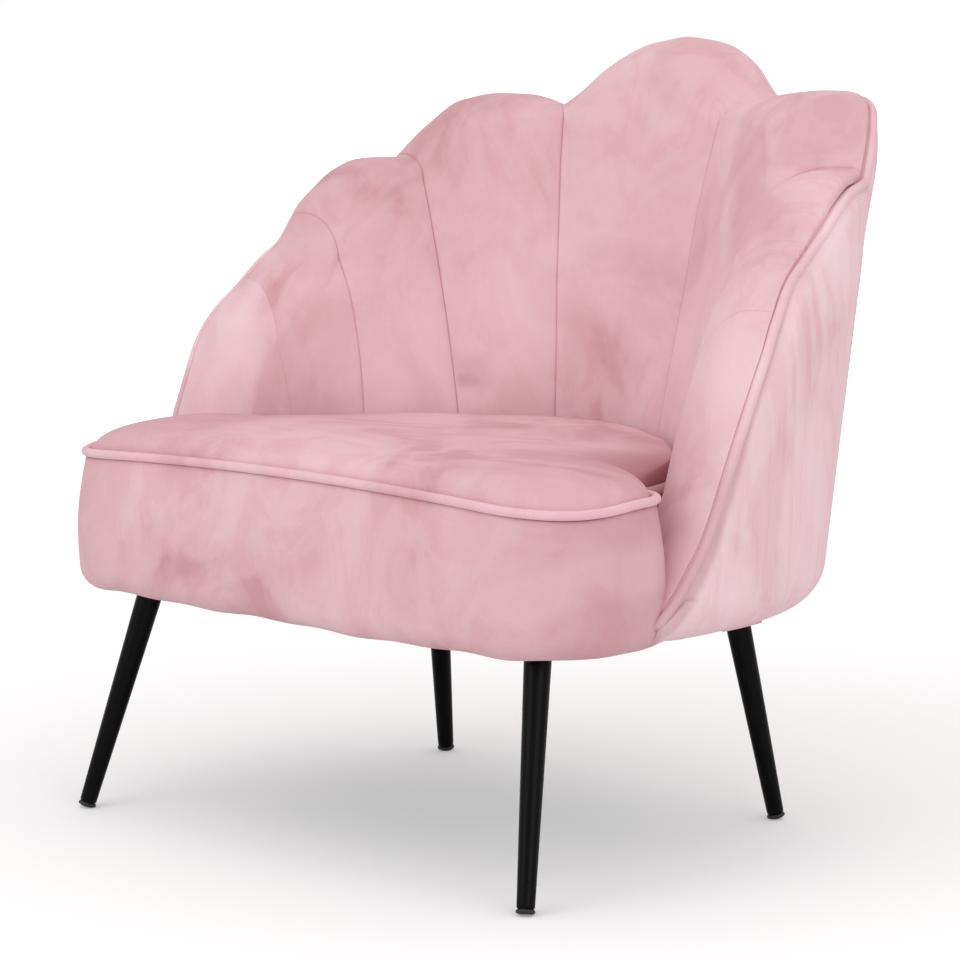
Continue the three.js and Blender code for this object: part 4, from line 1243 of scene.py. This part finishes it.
    def build_dust_cover(self, finishes: Finishes) -> None:
        """The felt under the seat, cut like its solid, with a slight sag between the legs."""
        source = frame["nodes"]["dust_cover"]
        mesh = bmesh.new()
        mesh.from_mesh(source.data)
        for _ in range(5):
            long_edges = [edge for edge in mesh.edges if edge.calc_length() > self.felt_step]
            if not long_edges:
                break
            bmesh.ops.subdivide_edges(mesh, edges=long_edges, cuts=1)
            bmesh.ops.triangulate(mesh, faces=mesh.faces[:])
        data = bpy.data.meshes.new("felt_cover")
        mesh.to_mesh(data)
        mesh.free()
        points = coordinates(data)
        low, size = points.min(0), np.ptp(points, axis=0)
        across, along = (np.sin(np.pi * np.clip((points[:, k] - low[k]) / size[k], 0, 1)) for k in range(2))
        points[:, 2] += self.felt_lift - self.felt_sag * (across * along) ** 2
        data.vertices.foreach_set("co", points.ravel())
        data.update()
        piece = linked("felt_cover", data)
        settle(piece, finishes.felt, "dust_cover")

    def build(self, finishes: Finishes) -> None:
        """Builds the foam, the felt underneath, the border, the piping and the top."""
        self.build_core(finishes)
        self.build_dust_cover(finishes)
        self.build_border(finishes)
        self.build_piping(finishes)
        self.build_top(finishes)


def coordinates(mesh: bpy.types.Mesh) -> np.ndarray:
    """The vertices of a mesh as an array, n by 3."""
    points = np.empty(len(mesh.vertices) * 3)
    mesh.vertices.foreach_get("co", points)
    return points.reshape(-1, 3)


# ---- legs ----


@dataclass
class Leg:
    """One tapered, splayed tube leg with its glide. head and splay are in plan, from the plan's centre."""

    name: str
    head: tuple[float, float]
    splay: tuple[float, float]
    board_z: float = 0.2433
    top_gap: float = 0.009
    top_radius: float = 0.0135
    foot_radius: float = 0.0088
    lift: float = 0.0064

    def axis(self) -> tuple[np.ndarray, np.ndarray, float]:
        """The leg's head on the board, its unit direction downwards and its length to the floor."""
        head = np.array([self.head[0], self.head[1] + CENTRE_Y, self.board_z])
        foot = np.array([self.head[0] + self.splay[0], self.head[1] + self.splay[1] + CENTRE_Y, 0.0])
        length = float(np.linalg.norm(foot - head))
        return head, (foot - head) / length, length

    def lathe(self, name: str, profile: list[tuple[float, float]], sides: int = 64) -> bpy.types.Object:
        """A profile of radius and distance down the leg, turned round the leg's axis and closed at both ends."""
        head, down, _ = self.axis()
        across = np.cross(down, np.array([0.0, 1.0, 0.0]))
        across /= np.linalg.norm(across)
        other = np.cross(down, across)
        table = np.array(profile)
        angle = np.linspace(0, 2 * np.pi, sides, endpoint=False)
        ring = np.cos(angle)[:, None] * across + np.sin(angle)[:, None] * other
        sections = head + table[:, 1, None, None] * down + table[:, 0, None, None] * ring[None]
        return ring_object(name, sections, closed_path=False)

    def build(self, finishes: Finishes) -> None:
        """The tube with a rounded top and foot, and the glide with its flare and sole."""
        length = self.axis()[2]
        end, top = length - self.lift, self.top_gap
        slope = (self.foot_radius - self.top_radius) / (end - top)
        body = [(self.top_radius - 0.002, top), (self.top_radius - 0.0006, top + 0.0006),
                (self.top_radius, top + 0.002)]
        body += [(self.top_radius + slope * (d - top), d) for d in np.linspace(top + 0.004, end - 0.004, 24)]
        body += [(self.foot_radius, end - 0.0015), (self.foot_radius - 0.0012, end)]
        settle(self.lathe(f"tube_{self.name}", body), finishes.steel, f"leg_{self.name}")
        cap = [(0.005, end - 0.010), (0.005, end - 0.0001), (0.0082, end + 0.0002), (0.0088, end + 0.001),
               (0.0095, length - 0.0040), (0.0092, length - 0.0028), (0.0072, length - 0.0016)]
        glide = self.lathe(f"cap_{self.name}", cap, sides=48)
        points = coordinates(glide.data)
        points[:, 2] = np.maximum(points[:, 2], 0.0)
        glide.data.vertices.foreach_set("co", points.ravel())
        settle(glide, finishes.plastic, f"glide_{self.name}")


def build_legs(finishes: Finishes) -> None:
    """Four legs: the front pair splays forwards and outwards, the back pair backwards and outwards."""
    for side in Side:
        for end, (x, y), (out, along) in (("front", (0.2765, -0.131), (0.0425, -0.063)),
                                          ("back", (0.2147, 0.2284), (0.0273, 0.0446))):
            name = f"{end}_{side.name.lower()}"
            Leg(name, (x * side.value, y), (out * side.value, along)).build(finishes)


# ---- studio ----


@dataclass
class Studio:
    """White room, soft lamps and a camera at the photograph's angle.

    Each of lamps has a name, a place, a point it faces, a size and a power in watts.
    """

    azimuth: float = 43.843
    elevation: float = 8.0148
    place: tuple = (2.5192, -2.65404, 0.8661)
    lens: float = 132.45
    floor_half: float = 30.0
    near_glow: float = 0.22
    far_glow: float = 0.95
    glow_reach: tuple = (0.6, 5.0)
    fill_colour: tuple = (1.0, 0.99, 0.985, 1.0)
    fill_light: float = 0.76
    lamps: tuple = (
        ("key", (-0.6, -3.4, 1.9), (0, 0, 0.45), 2.6, 24.0),
        ("side", (3.3, -0.9, 1.5), (0, 0, 0.45), 2.4, 20.0),
        ("top", (0.3, -0.6, 3.0), (0, 0, 0.4), 2.4, 10.0),
    )

    def build_camera(self) -> None:
        """A level camera that looks along its azimuth and down by its elevation."""
        data = bpy.data.cameras.new("camera")
        data.lens = self.lens
        data.sensor_width = 36.0
        data.clip_end = 100.0
        camera = linked("camera", data)
        camera.location = self.place
        camera.rotation_euler = (math.radians(90.0 - self.elevation), 0.0, math.radians(self.azimuth))
        bpy.context.scene.camera = camera

    def build_floor(self) -> None:
        """A wide pale floor. To the camera it also glows, more with distance, so that it reads white."""
        corners = np.array([[-1, -1, 0], [1, -1, 0], [1, 1, 0], [-1, 1, 0]], float)
        floor = mesh_object("floor", corners * self.floor_half, np.array([[0, 1, 2, 3]]))
        recipe = Recipe("pale_floor")
        recipe.set(recipe.shader, Base_Color=grey(0.84), Roughness=0.9, Specular_IOR_Level=0.1)
        away = recipe.node("VectorMath")
        away.operation = "LENGTH"
        recipe.feed(recipe.place, away.inputs[0])
        low, high = self.glow_reach
        spread = recipe.node("MapRange", Value=away.outputs["Value"], From_Min=low, From_Max=high,
                             To_Min=self.near_glow, To_Max=self.far_glow)
        seen = recipe.node("LightPath").outputs["Is Camera Ray"]
        glow = recipe.node("Emission", Strength=recipe.maths("MULTIPLY", seen, spread.outputs["Result"]))
        both = recipe.node("AddShader")
        recipe.feed(recipe.shader.outputs["BSDF"], both.inputs[0])
        recipe.feed(glow.outputs["Emission"], both.inputs[1])
        recipe.set(recipe.output, Surface=both.outputs["Shader"])
        dress(floor, recipe.material)

    def build_world(self) -> None:
        """A world that lights softly and shows white to the camera."""
        world = bpy.data.worlds.new("room")
        tree = Tree(world)
        blend = tree.node("MixShader", Fac=tree.node("LightPath").outputs["Is Camera Ray"])
        for index, colour, strength in ((1, self.fill_colour, self.fill_light), (2, grey(1.0), 1.0)):
            light = tree.node("Background", Color=colour, Strength=strength)
            tree.feed(light.outputs["Background"], blend.inputs[index])
        tree.node("OutputWorld", Surface=blend.outputs["Shader"])
        bpy.context.scene.world = world

    def build_lamps(self) -> None:
        """Square area lamps, each turned to the point that it faces."""
        for name, place, target, size, power in self.lamps:
            data = bpy.data.lights.new(name, "AREA")
            data.size = size
            data.energy = power
            lamp = linked(name, data)
            back = np.array(place, float) - np.array(target, float)
            lamp.location = place
            lamp.rotation_euler = (math.atan2(math.hypot(back[0], back[1]), back[2]), 0.0,
                                   math.atan2(back[0], -back[1]))

    def build(self) -> None:
        """Builds the camera, the floor, the world and the lamps."""
        self.build_camera()
        self.build_floor()
        self.build_world()
        self.build_lamps()
        bpy.context.scene.view_settings.view_transform = "Standard"


def main() -> None:
    """Builds the studio and the chair's pieces in order."""
    logging.basicConfig(level=logging.INFO, format="%(message)s")
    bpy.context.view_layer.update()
    Studio().build()
    finishes = Finishes()
    finishes.dress_frame()
    ChannelledBack().build(finishes)
    ShellOutside().build(finishes)
    SeatBlock().build(finishes)
    build_legs(finishes)


if __name__ == "__main__":
    main()
